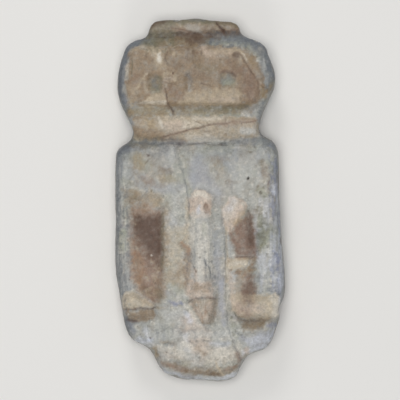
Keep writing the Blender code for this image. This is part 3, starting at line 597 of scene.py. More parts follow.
    ("silver", 0.4, 3, [(-57.6, -3, 1.4), (-57.6, -12, 1.4)]),
    ("slate", 0.5, 1.6, [(54.6, 30, 0.7), (54.4, 14, 0.8)]),
    ("pearl", 0.6, 2, [(52.4, 10, 1.2), (52.8, 5, 1)]),
    ("slate", 0.18, 5, [(-50.6, 26, 2.6), (-50, -6, 2.6)]),
    # left leg
    ("earth", 0.6, 5, [(-54, 7, 1.6), (-50, 5, 3.4), (-46, 1, 3)]),
    ("ochre", 0.4, 5, [(-50, 7, 2), (-46, 4, 3)]),
    ("tan", 0.6, 6, [(-50, 0, 3), (-44, 1, 4), (-32, 0, 4.2)]),
    ("olive", 0.35, 3, [(-49, 4, 1.6), (-46, 1, 1.4)]),
    ("earth", 0.35, 5, [(-51, -1, 2.2), (-50, -10, 1.8)]),
    ("cream", 0.5, 3.5, [(-35, 5, 1.8), (-33, 0, 2.2), (-32, -4, 1.6)]),
    ("cream", 0.3, 3, [(-30, 4, 1.4), (-29, -4, 1.4)]),
    ("rust", 0.6, 8, [
        (-48, -3), (-40, -3), (-32, -6), (-26.4, -7), (-26, -48), (-24.6, -58), (-29, -74), (-39, -72),
        (-50, -56), (-51, -30), (-49.6, -14)]),
    ("rust", 0.45, 6, [(-44, -40, 4), (-41, -56, 5)]),
    ("mauve", 0.6, 6, [(-38, -44, 3.6), (-34, -56, 5), (-33.4, -68, 4.4)]),
    ("mauve", 0.55, 5, [(-39, -61, 2.8), (-34, -66, 3.4)]),
    ("tan", 0.35, 6, [(-44, -44, 3.6), (-44, -58, 3)]),
    ("umber", 0.75, 9, [
        (-47.4, -10.4), (-38, -10), (-27.4, -10), (-26.8, -50), (-31, -49), (-39.6, -41), (-45.4, -30),
        (-49.6, -20)]),
    ("umber", 0.85, 7, [(-46.4, -12.4), (-28.4, -12), (-27.6, -38), (-33, -40), (-39, -34), (-43.4, -24)]),
    ("olive", 0.5, 3, [(-26.4, -8, 1.4), (-26.2, -26, 1.2), (-26, -46, 1.4)]),
    ("mauve", 0.3, 5, [(-44, -30, 2), (-40, -38, 2), (-33, -47, 2)]),
    ("earth", 0.4, 4, [(-42, -4, 2), (-38, -8, 2)]),
    ("umber", 0.35, 5, [(-45, -19, 2), (-40, -26, 2.8), (-30, -27, 3.6), (-30, -34, 2.6)]),
    ("cream", 0.35, 3, [(-51, -29, 1.4), (-50.6, -33, 1.4)]),
    ("earth", 0.45, 5, [(-38.6, -65, 2.6), (-32, -67, 3)]),
    ("slate", 0.4, 3, [(-52, -8, 1.2), (-51.6, -26, 1.2), (-51, -54, 1.4)]),
    ("cream", 0.5, 1.2, [(-46.2, -17, 0.7)]),
    ("ivory", 0.85, 1.2, [(-34.6, -39.7, 0.5)]),
    ("cream", 0.5, 1.2, [(-44, -36.4, 0.4), (-45.6, -33, 0.4)]),
    ("lavender", 0.4, 3, [(-56, -15, 2), (-56, -20, 2)]),
    ("moss", 0.8, 4, [(-55, -23, 2.4), (-54.4, -34, 2.6)]),
    ("silver", 0.4, 4, [(-54, -28, 1.8), (-52.6, -36, 1.8)]),
    ("slate", 0.4, 3, [(-53, -40, 1.4), (-55, -47, 1.4)]),
    ("slate", 0.55, 3, [(-52, -52, 1.6), (-51, -58, 2), (-53, -64, 2), (-47.4, -61, 1.2)]),
    ("slate", 0.5, 4, [(-57.5, -46, 1.6), (-57, -56, 2), (-53, -62, 2.6)]),
    # beside tail
    ("silver", 0.4, 6, [(-17, 0, 4.5), (-18, -12, 4)]),
    ("cream", 0.5, 6, [(-25, -20), (-10, -18), (-7, -26), (-7, -58), (-12, -64), (-25, -60)]),
    ("silver", 0.45, 2.4, [(-12.6, -37.6, 1.3), (-11.6, -41, 1)]),
    ("tan", 0.45, 5, [(-21, -52, 3.6), (-19, -58, 3)]),
    ("tan", 0.5, 3.5, [(-12, -31, 2.8), (-9, -36, 2.8), (-9, -58, 2.6)]),
    ("rust", 0.65, 2.5, [(-12, -31, 1.2), (-9, -34, 1.8), (-7.8, -38, 1.5)]),
    ("mauve", 0.4, 3, [(-9, -46, 2), (-9, -66, 2)]),
    ("tan", 0.45, 4, [(-15, -46, 2.4), (-14, -51, 2.4)]),
    ("ochre", 0.35, 4, [(-23.6, -8, 1.4), (-23.6, -20, 1.6)]),
    ("tan", 0.45, 4, [(-23.8, -24, 1.6), (-23.6, -44, 1.6)]),
    ("cream", 0.6, 3.4, [(-9.4, 1, 1.2), (-9.2, -10, 1.4), (-9.4, -27, 1.8)]),
    ("tan", 0.4, 4, [(-15, -56, 2), (-13.6, -63, 2)]),
    # tail
    ("silver", 0.3, 4, [(-1, 6, 3), (4, 4, 3)]),
    ("pink", 0.9, 2, [
        (-8.4, -9), (-8.2, 1), (-6.6, 4.6), (-3.4, 6.8), (0.4, 7.4), (4, 6.4), (7, 3.6), (8.6, -0.6),
        (8.6, -10), (6, -13), (-5, -13)]),
    ("ivory", 0.75, 2.6, [(-5.4, 3, 1.6), (-2, 5, 1.9), (2, 4.8, 1.9), (5.6, 2.2, 1.4)]),
    ("pearl", 0.7, 2.4, [(-0.8, -5.8, 1.4), (-1, -8.4, 1.4)]),
    ("mauve", 0.65, 1.8, [(3, -4.6, 0.8), (3.4, -2.8, 0.8), (6, -3.4, 0.8), (6, -8, 1.3), (4, -9, 1)]),
    ("silver", 0.6, 4, [(1, -14, 7), (1.4, -30, 7), (1, -44, 7), (0, -54, 6)]),
    ("ivory", 0.35, 4, [(1.4, -20, 4.6), (2, -34, 5.4), (2, -50, 4.4)]),
    ("ivory", 0.5, 3, [(-5, -15, 1.4), (-5.6, -26, 2), (-6, -32, 1.4)]),
    ("pink", 0.6, 2.5, [(-4, -50, 1.4), (-3, -56, 1.8)]),
    ("slate", 0.15, 3, [(12, 0, 2.2), (13, -14, 3), (13, -46, 3)]),
    ("slate", 0.35, 1.4, [(-4.6, -17, 0.5), (-3, -22, 0.6), (-2, -29, 0.5)]),
    ("slate", 0.3, 1.4, [(0, -38, 0.5), (2, -44, 0.5)]),
    ("moss", 0.4, 3, [(3, -18, 1.6), (3, -24, 1.4)]),
    ("silver", 0.4, 3, [(8.6, -18, 1.2), (8.6, -28, 1.2)]),
    ("ivory", 0.4, 3, [(-4.6, -10, 1.6), (-4, -15, 1.4)]),
    ("tan", 0.3, 3, [(3, -50, 1.6), (3.4, -57, 1.8)]),
    ("silver", 0.4, 3, [(7.4, -14, 1.2), (8, -20, 1.2)]),
    ("lavender", 0.5, 4, [(12.6, -30, 2), (13, -50, 2.6), (14, -62, 2.8)]),
    # right leg
    ("pink", 0.8, 2, [
        (16.2, -13), (16.4, -7), (17.8, -2.6), (20.4, 0.8), (24.4, 2.4), (28.6, 1.4), (32, -1.4),
        (34.4, -6), (30, -12), (25, -18), (21.6, -24), (18.4, -22)]),
    ("ivory", 0.5, 4, [(25, -0.6, 2), (21.4, -5, 3.2), (19.6, -12, 2.2)]),
    ("pearl", 0.35, 4, [(23.4, -0.6, 1.8), (19.6, -7, 2)]),
    ("ivory", 0.7, 1.8, [(30.6, -2.8, 1)]),
    ("mauve", 0.95, 5, [
        (20.6, -26), (24, -19), (29, -13), (34, -10), (37.4, -12), (40, -22), (41, -34), (40.4, -41),
        (26.4, -41), (23.4, -34)]),
    ("ochre", 0.6, 5, [(33.4, -7, 1.2), (29.4, -11, 2.4), (25.4, -15.6, 2)]),
    ("umber", 0.5, 5, [(35.6, -14, 0.8), (36, -24, 2.4), (35, -31, 2)]),
    ("umber", 0.3, 5, [(33, -20, 3), (36, -28, 3)]),
    ("umber", 0.5, 1.4, [(34.6, -8, 0.7), (36.4, -13.6, 0.7)]),
    ("moss", 0.9, 5, [(43, -14, 3), (47, -21, 4), (45, -30, 4)]),
    ("olive", 0.55, 5, [(44, -17, 2.6), (48, -20, 2.8), (44, -26, 2.6)]),
    ("olive", 0.55, 3, [(42.6, -26, 1.4), (43.2, -36, 1.6)]),
    ("silver", 0.6, 4, [(48, -35, 1.8), (48, -39, 2.2)]),
    ("tan", 0.75, 3, [(30, -42, 2), (38, -42, 2), (37, -48, 3)]),
    ("cream", 0.8, 3, [
        (19, -41.6), (27, -42.2), (34, -42), (33.6, -46), (29, -49.6), (22, -50), (18.6, -48)]),
    ("ivory", 0.4, 2, [(23, -45.4, 1.6), (32, -44.6, 1)]),
    ("pink", 0.6, 4, [(21.6, -54, 1.6), (23, -62, 2.2), (23, -70, 2.4)]),
    ("tan", 0.7, 4, [(27, -51.6, 1.8), (35, -51, 3)]),
    ("tan", 0.65, 5, [(29, -52, 3), (29, -64, 4), (29, -76, 4)]),
    ("mauve", 0.8, 5, [(35, -55, 3.2), (34.4, -62, 5), (34, -74, 5.6)]),
    ("umber", 0.6, 4, [(35, -56, 1.2), (33.4, -64, 2.6), (34.4, -71, 2.4)]),
    ("blue", 0.5, 3.5, [(55.4, -38, 1.2), (56.4, -64, 1.6)]),
    ("pearl", 0.4, 3, [(57, -26, 1.4), (58.4, -48, 1.8), (57.6, -62, 1.6)]),
    ("slate", 0.45, 3, [(53.6, -61, 1.6), (49, -64, 1.4), (56, -67, 1.4)]),
    ("slate", 0.25, 4, [(41.6, -56, 1.6), (42, -65, 2)]),
    ("mauve", 0.5, 4, [(38, -60, 2), (38.6, -70, 2.4)]),
    # cream down the right leg's left flank: painted light on the slope that faces left
    ("cream", 0.6, 1.8, [(18.6, -20, 0.7), (19.4, -42, 0.9), (19, -58, 1.2)]),
    ("silver", 0.5, 3, [(19.8, -28, 1), (21, -36, 1.6), (21.6, -40, 1.3)]),
    # left foot
    ("tan", 0.5, 4, [(-30, -58, 4), (-28, -68, 4)]),
    ("olive", 0.4, 4, [(-29, -66, 2), (-27.6, -76, 2), (-28, -85, 2)]),
    ("cream", 0.8, 2, [
        (-56.6, -70), (-53, -66), (-48, -64.6), (-41, -69.5), (-33, -75.4), (-34, -77), (-46, -77.4),
        (-56, -78.4)]),
    ("ivory", 0.35, 1.6, [(-53, -67, 0.8), (-48, -65, 0.8)]),
    # the tan band under the left foot's fold and its dark lower edge, down to the umber line: painted shade
    # on the foot's underside, with brown staining
    ("tan", 0.85, 3, [
        (-54, -79.4), (-46, -79), (-33, -78), (-31, -82), (-33, -86), (-46, -86.6), (-51, -86)]),
    ("earth", 0.3, 3, [(-51, -84, 1.2), (-46, -85.4, 1.4)]),
    ("umber", 0.45, 2, [(-51, -85.6, 0.8), (-46, -86.2, 0.8)]),
    ("ivory", 0.8, 1.2, [(-51.2, -81.4, 0.7)]),
    ("slate", 0.45, 3, [(-52.4, -88, 1.8), (-50.6, -92, 2)]),
    ("silver", 0.6, 3, [(-57.6, -68, 1.2), (-56.8, -75, 1.2)]),
    ("earth", 0.4, 3, [(-42, -80, 1.4), (-35, -80, 1.4)]),
    ("moss", 0.4, 4, [(-23, -71, 2.2), (-19, -70, 1.6)]),
    ("slate", 0.4, 1.6, [(-21.6, -71.6, 0.8), (-18, -74, 0.8), (-13.6, -74.4, 0.8)]),
    ("blue", 0.7, 2.6, [(-22, -72, 1), (-18, -74.4, 1.3), (-13.6, -74.2, 1)]),
    ("silver", 0.75, 4, [(-17, -79, 2.2), (-12, -79.4, 2)]),
    ("moss", 0.45, 4, [(-20, -62, 3), (-14, -65, 3)]),
    ("ochre", 0.35, 3, [(-30, -77, 1.4), (-24, -78, 1.2)]),
    # tail tip
    ("pink", 0.75, 3, [
        (-8, -60), (-6, -57), (4, -58), (8, -60), (10, -69), (0, -69.6), (-8, -72.4), (-9.6, -68)]),
    ("tan", 0.5, 4, [(-3, -62, 3.4), (4, -64, 3.6)]),
    ("tan", 0.65, 2.5, [
        (-8, -72.4), (0, -70.6), (8, -70), (12.4, -71), (12, -80), (10, -87), (6, -89.4), (1.4, -88),
        (-2, -83)]),
    ("pink", 0.7, 2.4, [(-6, -74.4, 1.4), (-2, -78.6, 1.6), (1, -84, 1.2)]),
    ("rust", 0.45, 2.4, [(-1, -73.4, 0.7), (-1.4, -77, 0.8)]),
    ("rust", 0.4, 3, [(4, -75, 1), (3.4, -80, 1.4), (3, -85, 1.4)]),
    ("mauve", 0.35, 2.4, [(3.4, -80, 1), (6, -85, 1.8)]),
    ("pink", 0.5, 3, [(7, -74, 1.8), (7.6, -80, 1.6)]),
    # ivory and pearl down the tip's left edge, here and in the next line: painted light over the shade of
    # its step
    ("ivory", 0.65, 3.4, [(-9.6, -76, 0.9), (-6.4, -80, 1.8), (-3, -85, 1.8), (0.4, -91, 1.2)]),
    ("pearl", 0.5, 3, [(-10, -80, 1.4), (-6, -86, 1.4)]),
    ("lavender", 0.75, 3, [(15.4, -58, 1.8), (15.6, -76, 1.8), (17, -88, 1.8)]),
    # right foot
    ("cream", 0.8, 3, [
        (21, -68), (26, -67), (40, -67.4), (54, -67.4), (57.6, -70.6), (56.6, -83), (46, -84.6), (30, -84),
        (23, -79)]),
    ("mauve", 0.5, 5, [(33, -68, 4), (35, -72, 2.6)]),
    ("umber", 0.35, 4, [(33, -67.6, 2), (35.4, -71, 1.4)]),
    ("mauve", 0.35, 6, [(31, -74, 3.6), (36, -79, 3.4)]),
    ("mauve", 0.4, 4, [(27, -76, 2), (33, -81, 2)]),
    ("pink", 0.5, 4, [(24, -72, 2.4), (28, -78, 2.6), (44, -78, 3)]),
    ("slate", 0.2, 5, [(30, -76, 3), (42, -75, 3)]),
    ("ivory", 0.55, 3, [(52, -70, 2.4), (56, -75, 2.4), (54, -82, 2.4)]),
    # the dark earth band under the right foot: painted shadow, with brown staining in the groove
    ("earth", 0.7, 3, [(28, -84.6, 1.2), (34, -86.8, 2), (44, -86.8, 2), (50, -85.6, 0.8)]),
    ("ochre", 0.3, 3, [(33, -88.6, 1.6), (45, -88, 1.4)]),
    ("earth", 0.7, 3, [(31, -89.4, 1.4), (38, -90, 1.4), (44, -89.2, 1.3)]),
    ("moss", 0.5, 3, [(22, -84, 1.6), (24, -89, 1.6)]),
    ("pearl", 0.45, 3, [(58, -70, 1.4), (57.6, -80, 1.6)]),
    ("ivory", 0.65, 3, [(54, -74, 2), (54.6, -80, 2.2)]),
    ("blue", 0.5, 3, [(49, -89.4, 1.8), (54, -89, 1.6)]),
    ("cream", 0.4, 3, [(49, -79, 2), (46.6, -83.6, 1.2)]),
    ("ochre", 0.4, 3, [(32, -92, 1.4), (40, -92, 1.4)]),
    ("mauve", 0.3, 4, [(28, -79, 1.8), (34, -80, 2)]),
    ("earth", 0.5, 3, [(31, -90.4, 2), (43, -90, 1.8)]),
    # lower body; the silver, lavender and pearl along the hips' lower rims are painted light
    ("silver", 0.6, 5, [(-31, -78), (-14, -78), (-12, -90), (-30, -90)]),
    ("silver", 0.5, 6, [(-40, -97, 4), (-30, -98, 4), (-20, -96, 4)]),
    ("pearl", 0.4, 4, [(-38, -92, 1.6), (-38, -100, 2)]),
    ("blue", 0.35, 3, [(-50, -88, 1.2), (-47.4, -94, 1.4)]),
    ("slate", 0.6, 4, [(-53, -84, 1.6), (-51.6, -91, 2.4), (-49.6, -97, 1.6)]),
    ("slate", 0.35, 1.4, [(-40.8, -88, 0.4), (-40.6, -95, 0.4)]),
    ("pink", 0.55, 5, [
        (-13, -84), (-6, -80), (0, -90), (8, -92), (9, -104), (4, -110), (-6, -108), (-12, -98)]),
    ("pearl", 0.6, 3, [(-10.6, -97, 1.8), (-9, -106, 2)]),
    ("silver", 0.4, 3, [(-15, -94, 1), (-14, -104, 1.4)]),
    ("tan", 0.45, 2.5, [(-28, -101, 1.2), (-18.6, -102, 1.4)]),
    ("silver", 0.7, 4, [(13, -96, 2.4), (21, -96, 2.6)]),
    ("lavender", 0.75, 5, [(31, -99, 2), (40, -101, 4.4), (50, -96, 3)]),
    ("pearl", 0.4, 4, [(38, -101, 2), (48, -99, 2.4)]),
    ("pearl", 0.6, 3, [(31, -109, 1.4), (38, -107, 1.6), (46, -104.4, 1.4), (51.4, -97, 1)]),
    ("silver", 0.65, 5, [(-17, -97, 2.8), (-2, -96, 2.6), (20, -96, 2.8)]),
    ("ivory", 0.45, 3, [(-10.6, -100, 1.8), (-9, -104, 1.8)]),
    ("slate", 0.25, 3, [(-24, -91, 1.6), (-20, -93, 1.4)]),
    ("pearl", 0.4, 3, [(-46, -100.6, 1.4), (-39, -102.6, 1.6)]),
    ("pearl", 0.35, 3, [(51.6, -93, 1.4), (50.6, -98, 1.4)]),
    ("pearl", 0.7, 4, [(-43, -99, 2), (-36, -101, 2.2)]),
    ("ivory", 0.75, 3, [(-11, -103, 1.8), (-6, -105, 1.6)]),
    ("ivory", 0.4, 3, [(16, -99, 2), (21, -98.6, 2)]),
    ("pearl", 0.4, 3, [(8, -103, 1.8), (20, -103, 1.8)]),
    ("slate", 0.5, 3, [(-52, -85, 1.4), (-46, -88, 1.6)]),
    ("olive", 0.3, 4, [(-28, -83, 1.8), (-26, -87, 1.8)]),
    ("ivory", 0.3, 3, [(-1, -97, 1.8), (5, -100, 1.6)]),
    ("pearl", 0.35, 3, [(-9.6, -81, 1.6), (-7, -86, 1.6)]),
    ("ivory", 0.5, 3, [(27.4, -101.6, 1.4), (28, -106, 1.4)]),
    ("pearl", 0.4, 3, [(33, -101.6, 1.4), (36, -103.6, 1.4)]),
    ("olive", 0.3, 3, [(9, -89, 1.2), (14, -88, 1.2)]),
    ("silver", 0.4, 4, [(-40, -102.4, 1.6), (-32, -103.4, 1.4)]),
    # base; the silver, lavender and pearl along its bottom rim are painted light
    ("ivory", 0.25, 4, [
        (-34, -103), (-12, -103), (6, -105), (22, -104.6), (33, -110), (28, -116), (10, -119),
        (-8, -117.5), (-26, -113)]),
    ("pink", 0.15, 5, [(-30, -104), (22, -105), (31, -110), (26, -116), (8, -118), (-24, -113)]),
    ("silver", 0.6, 4, [(-14, -106, 3), (-4, -113, 3.4)]),
    ("ivory", 0.45, 4, [(8, -110, 2.4), (15, -111.6, 3), (22, -112, 1.6)]),
    ("mauve", 0.6, 2.4, [(26.4, -109, 0.9), (29.4, -113.6, 1.3)]),
    ("ochre", 0.6, 2.5, [(-32.6, -106, 1.2), (-30.6, -111, 1.4)]),
    ("earth", 0.4, 2, [(-31, -108, 0.8), (-29.6, -113, 1)]),
    ("silver", 0.7, 3, [
        (-31, -116, 1.4), (-22, -123.4, 1.8), (0, -127.6, 2), (14, -128.6, 1.8), (24, -125.6, 1.8),
        (29.4, -118, 1.4)]),
    ("tan", 0.6, 3, [
        (-29, -115), (-20, -116), (-10, -119), (5, -121), (12, -120.4), (27, -117.6), (26, -121.6),
        (17, -126), (5, -125), (-8, -124.4), (-22, -120.6)]),
    ("lavender", 0.6, 2.4, [(-31, -117, 1), (-24, -122.6, 1), (-12, -126.4, 1.4), (0, -127.6, 1.4)]),
    ("pearl", 0.4, 2.4, [
        (-26, -122, 0.6), (-14, -126, 0.6), (4, -128.4, 1), (18, -127.6, 1.6), (24, -124.6, 1.2)]),
    ("mauve", 0.5, 3, [(-27, -117, 1.4), (-17, -120, 1.6), (-8, -122, 1.4)]),
    ("earth", 0.6, 2.5, [(-10, -122, 1.2), (0, -123.6, 1.2), (8, -123.6, 1.9), (15, -124.4, 1.7)]),
    ("umber", 0.35, 2.5, [(8, -123.6, 1), (13, -124.4, 1)]),
    ("mauve", 0.5, 2.5, [(19, -121, 1.4), (26, -118.6, 1.2)]),
    ("cream", 0.85, 1.2, [(11.6, -115, 0.5), (12.6, -119, 0.7), (16.6, -125, 0.8)]),
    ("ivory", 0.4, 3, [(-18, -108, 2), (-12, -109, 2)]),
    ("ivory", 0.3, 3, [(6, -114, 2), (12, -113.6, 2)]),
    ("pink", 0.7, 2.4, [(33.4, -107, 1.5), (33.6, -112, 1.3), (32.4, -116, 1)]),
    ("earth", 0.35, 3, [(-12, -124.6, 1.4), (-5, -126, 1.6)]),
    ("ivory", 0.4, 3, [(11, -107.6, 1.6), (17, -107, 1.6), (24, -108.4, 1.2)]),
    ("olive", 0.4, 4, [(-18, -115, 1.8), (-9, -118, 1.8)]),
    ("mauve", 0.5, 2.4, [(25.8, -108.6, 1.2), (28, -113.6, 1.5), (28.4, -118, 1.3)]),
    ("tan", 0.5, 3, [(-2, -106, 1.8), (3, -109, 1.8)]),
    ("pearl", 0.45, 3, [(20, -126.6, 1.4), (26.6, -124.4, 1.5)]),
]

# Fine upright streaks: tone, strength, spacing, how much they cover, a seed, and the outline they keep to
effigy["streaks"] = {
    "foreheadLeft": ("olive", 0.65, 1.9, 0.4, 71, [(-40, 118), (-17, 118), (-17, 105), (-40, 105)]),
    "foreheadPale": ("cream", 0.45, 1.9, 0.25, 87, [(-42, 110), (-17, 110), (-17, 102), (-42, 102)]),
    "foreheadMiddle": ("umber", 0.45, 1.6, 0.3, 72, [(-20, 117), (4, 117), (0, 99), (-12, 99)]),
    "foreheadRight": ("slate", 0.6, 1.8, 0.4, 73, [(4, 118), (40, 117), (44, 107), (4, 109)]),
    "faceGrain": ("earth", 0.15, 1.8, 0.3, 74, [
        (-50, 106), (34, 108), (46, 84), (40, 68), (-44, 68), (-52, 84)]),
    "cheekGrain": ("umber", 0.25, 1.4, 0.4, 75, [(27, 96), (40, 90), (42, 72), (29, 72)]),
    "chestGrain": ("slate", 0.15, 1.6, 0.3, 76, [(2, 38), (30, 38), (32, 2), (6, 6)]),
    "leftRim": ("slate", 0.45, 1.4, 0.4, 77, [(-61, 30), (-54, 30), (-51, -50), (-54, -78), (-60, -70)]),
    "leftFlankPale": ("silver", 0.4, 1.4, 0.4, 78, [(-60, -34), (-50, -34), (-48, -62), (-58, -66)]),
    "tailDark": ("slate", 0.25, 1.8, 0.3, 79, [
        (-7, -14), (9, -16), (18, -28), (19, -66), (4, -62), (-5, -44)]),
    "tailPale": ("ivory", 0.3, 2, 0.3, 80, [
        (-7, -14), (8, -14), (14, -50), (12, -68), (-2, -58), (-8, -30)]),
    # pale streaks on the right leg's left flank: painted light on the slope that faces left
    "flankPale": ("ivory", 0.45, 1.2, 0.35, 81, [(16, -38), (21, -38), (22, -78), (17, -78)]),
    "rightRim": ("blue", 0.35, 1.4, 0.35, 82, [
        (50, 40), (56, 30), (61, -60), (57, -72), (50, -60), (51, 0)]),
    "rightFlankDark": ("slate", 0.3, 2.2, 0.3, 83, [(38, 2), (57, 2), (60, -66), (42, -66)]),
    "rightFlankPale": ("pearl", 0.3, 2.4, 0.35, 84, [(38, 2), (57, 2), (60, -66), (42, -66)]),
    "tipGrain": ("ivory", 0.35, 1.4, 0.35, 85, [(-8, -72), (12, -71), (8, -88), (0, -88)]),
    "hipLeft": ("slate", 0.3, 1.6, 0.4, 86, [(-53, -87), (-22, -87), (-24, -102), (-46, -102)]),
}

# Soft clouds all over: tone, strength, spacing, how much of the surface they cover, and a seed
effigy["clouds"] = {
    "silverCloud": ("silver", 0.3, 9.0, 0.4, 11),
    "mossCloud": ("moss", 0.3, 13.0, 0.35, 12),
    "lavenderCloud": ("lavender", 0.3, 11.0, 0.35, 13),
    "tanCloud": ("tan", 0.2, 16.0, 0.25, 14),
    "paleFlecks": ("ivory", 0.35, 2.2, 0.12, 15),
    "darkFlecks": ("earth", 0.25, 2.6, 0.12, 16),
}

# The same for the sides and back, which the carving's stains don't reach
effigy["backClouds"] = {
    "backTan": ("tan", 0.6, 34.0, 0.4, 21),
    "backRust": ("rust", 0.5, 19.0, 0.2, 22),
    "backPale": ("silver", 0.5, 15.0, 0.3, 23),
    "backDark": ("earth", 0.45, 24.0, 0.2, 24),
    "backScuffs": ("cream", 0.5, 5.0, 0.15, 25),
}

# Places where the grain is weaker: by how much it is multiplied, and their outline
effigy["calmPlaces"] = {
    "calmFace": (0.88, [(-50, 106), (40, 106), (48, 84), (42, 68), (-46, 68), (-52, 84)]),
    "calmChest": (0.68, [(-50, 34), (50, 36), (46, -6), (16, -2), (-12, 8), (-50, 8)]),
    "calmLeftLeg": (0.9, [(-48, 0), (-26, 0), (-26, -72), (-48, -60)]),
}


def rampUp(value, start, end):  # 0 at start and before, 1 at end and beyond, and an S-shaped rise between
    share = np.clip((value - start) / (end - start), 0.0, 1.0)
    return share * share * (3.0 - 2.0 * share)


def latticeNoise(points, spacing, seed):  # smooth noise from -1 to 1, blended from seeded values on a grid
    count = 4096
    strides = np.array((73, 1543, 331))  # how far apart in those values a step along x, y and z takes it
    values = np.random.default_rng(seed).uniform(-1.0, 1.0, count)
    cell = np.floor(points / spacing).astype(np.int64)
    part = points / spacing - cell
    ease = part * part * (3.0 - 2.0 * part)
    total = np.zeros(len(points))
    for corner in product((0, 1), repeat=3):
        place = (cell + corner) @ strides
        total += np.prod(np.where(corner, ease, 1.0 - ease), axis=1) * values[place % count]
    return total


def layeredNoise(points, spacing, seed, layers=3):  # each layer is twice as fine and half as strong
    seedStep = 100  # every layer has its own seed
    total = np.zeros(len(points))
    for layer in range(layers):
        total += latticeNoise(points, spacing / 2**layer, seed + seedStep * layer) / 2**layer
    return total


def patchy(noise, covered, softness):  # turns layered noise into patches; covered is roughly their share
    edge = effigy["highestNoise"] - covered
    return rampUp(noise, edge - softness, edge + softness)


def nearestOnPath(x, y, start, end):  # how far along a straight stretch, from 0 to 1, and how far from it
    (ax, ay), (bx, by) = start[:2], end[:2]
    dx, dy = bx - ax, by - ay
    along = np.clip(((x - ax) * dx + (y - ay) * dy) / (dx * dx + dy * dy), 0.0, 1.0)
    return along, np.hypot(x - ax - along * dx, y - ay - along * dy)


def pathDistance(x, y, path):
    return np.min([nearestOnPath(x, y, start, end)[1] for start, end in zip(path, path[1:])], axis=0)


def depthInSpine(x, y, spine):  # how far inside a shape that follows a spine of (x, y, half width)
    if len(spine) == 1:
        px, py, width = spine[0]
        return width - np.hypot(x - px, y - py)
    depth = np.full(x.shape, -np.inf)
    for start, end in zip(spine, spine[1:]):
        along, distance = nearestOnPath(x, y, start, end)
        depth = np.maximum(depth, start[2] + along * (end[2] - start[2]) - distance)
    return depth


def depthInLoop(x, y, loop):  # how far inside an outline, negative outside it
    closed = loop + loop[:1]
    inside = np.zeros(x.shape, bool)
    for (ax, ay), (bx, by) in zip(closed, closed[1:]):
        if ay != by:
            inside ^= ((ay > y) != (by > y)) & (x < ax + (y - ay) * (bx - ax) / (by - ay))
    distance = pathDistance(x, y, closed)
    return np.where(inside, distance, -distance)


def depthInShape(x, y, shape):
    return depthInSpine(x, y, shape) if len(shape[0]) == 3 else depthInLoop(x, y, shape)


def within(x, y, loop, edge):  # 1 inside an outline and 0 outside it, with a soft edge of this width
    return rampUp(depthInLoop(x, y, loop), -edge / 2, edge / 2)


def nearShape(x, y, shape, margin):  # which points are near enough to a shape to be looked at
    columns = list(zip(*shape))
    widest = max(columns[2]) if len(columns) == 3 else 0.0
    reach = margin + widest
    return ((x > min(columns[0]) - reach) & (x < max(columns[0]) + reach)
            & (y > min(columns[1]) - reach) & (y < max(columns[1]) + reach))


def applied(piece):  # a piece's mesh with its modifiers applied
    graph = bpy.context.evaluated_depsgraph_get()
    return bpy.data.meshes.new_from_object(piece.evaluated_get(graph))


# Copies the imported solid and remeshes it: even quads all over, and half their size on the carved side
def evenStone():
    stone = bpy.data.objects.new("owl_effigy_stone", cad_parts["owl_effigy"].data.copy())
    bpy.context.scene.collection.objects.link(stone)
    remesh = stone.modifiers.new("evenPoints", "REMESH")
    remesh.mode = "VOXEL"
    remesh.voxel_size = effigy["pointStep"] * mm
    even = applied(stone)
    stone.modifiers.clear()
    finer = bmesh.new()
    finer.from_mesh(even)
    carved = [face for face in finer.faces if face.normal.z > effigy["carvedSide"]]
    edges = list({edge for face in carved for edge in face.edges})
    bmesh.ops.subdivide_edges(finer, edges=edges, cuts=1, use_grid_fill=True)
    finer.to_mesh(even)
    finer.free()
    stone.data = even
    return stone


def pointsOf(mesh):  # in millimetres
    flat = np.empty(len(mesh.vertices) * 3, np.float32)
    mesh.vertices.foreach_get("co", flat)
    return flat.reshape(-1, 3).astype(float) / mm


def normalsOf(mesh):
    flat = np.empty(len(mesh.vertices) * 3, np.float32)
    mesh.vertex_normals.foreach_get("vector", flat)
    return flat.reshape(-1, 3).astype(float)


def movePoints(mesh, points):
    points[:, 2] = np.maximum(points[:, 2], 0.0)  # nothing goes below what the stone lies on
    mesh.vertices.foreach_set("co", (points * mm).astype(np.float32).ravel())
    mesh.update()


# Evens out each point's values with its neighbours'. A push after each pull keeps the shape from shrinking
def smoothed(mesh, values, rounds, pulls=(0.5,)):
    ends = np.empty(len(mesh.edges) * 2, np.int32)
    mesh.edges.foreach_get("vertices", ends)
    one, other = ends.reshape(-1, 2).T
    count = len(mesh.vertices)
    neighbours = np.bincount(one, minlength=count) + np.bincount(other, minlength=count)
    columns = values.reshape(count, -1).T.copy()
    for pull in pulls * rounds:
        for column in columns:
            total = (np.bincount(one, weights=column[other], minlength=count)
                     + np.bincount(other, weights=column[one], minlength=count))
            column += pull * (total / neighbours - column)
    return columns.T.reshape(values.shape)


def wandered(points):  # x and y, moved about a little, so that no line or edge is ruled
    spacing, amount, seed = effigy["wander"]
    x = points[:, 0] + amount * layeredNoise(points, spacing, seed)
    y = points[:, 1] + amount * layeredNoise(points, spacing, seed + 1)
    return x, y


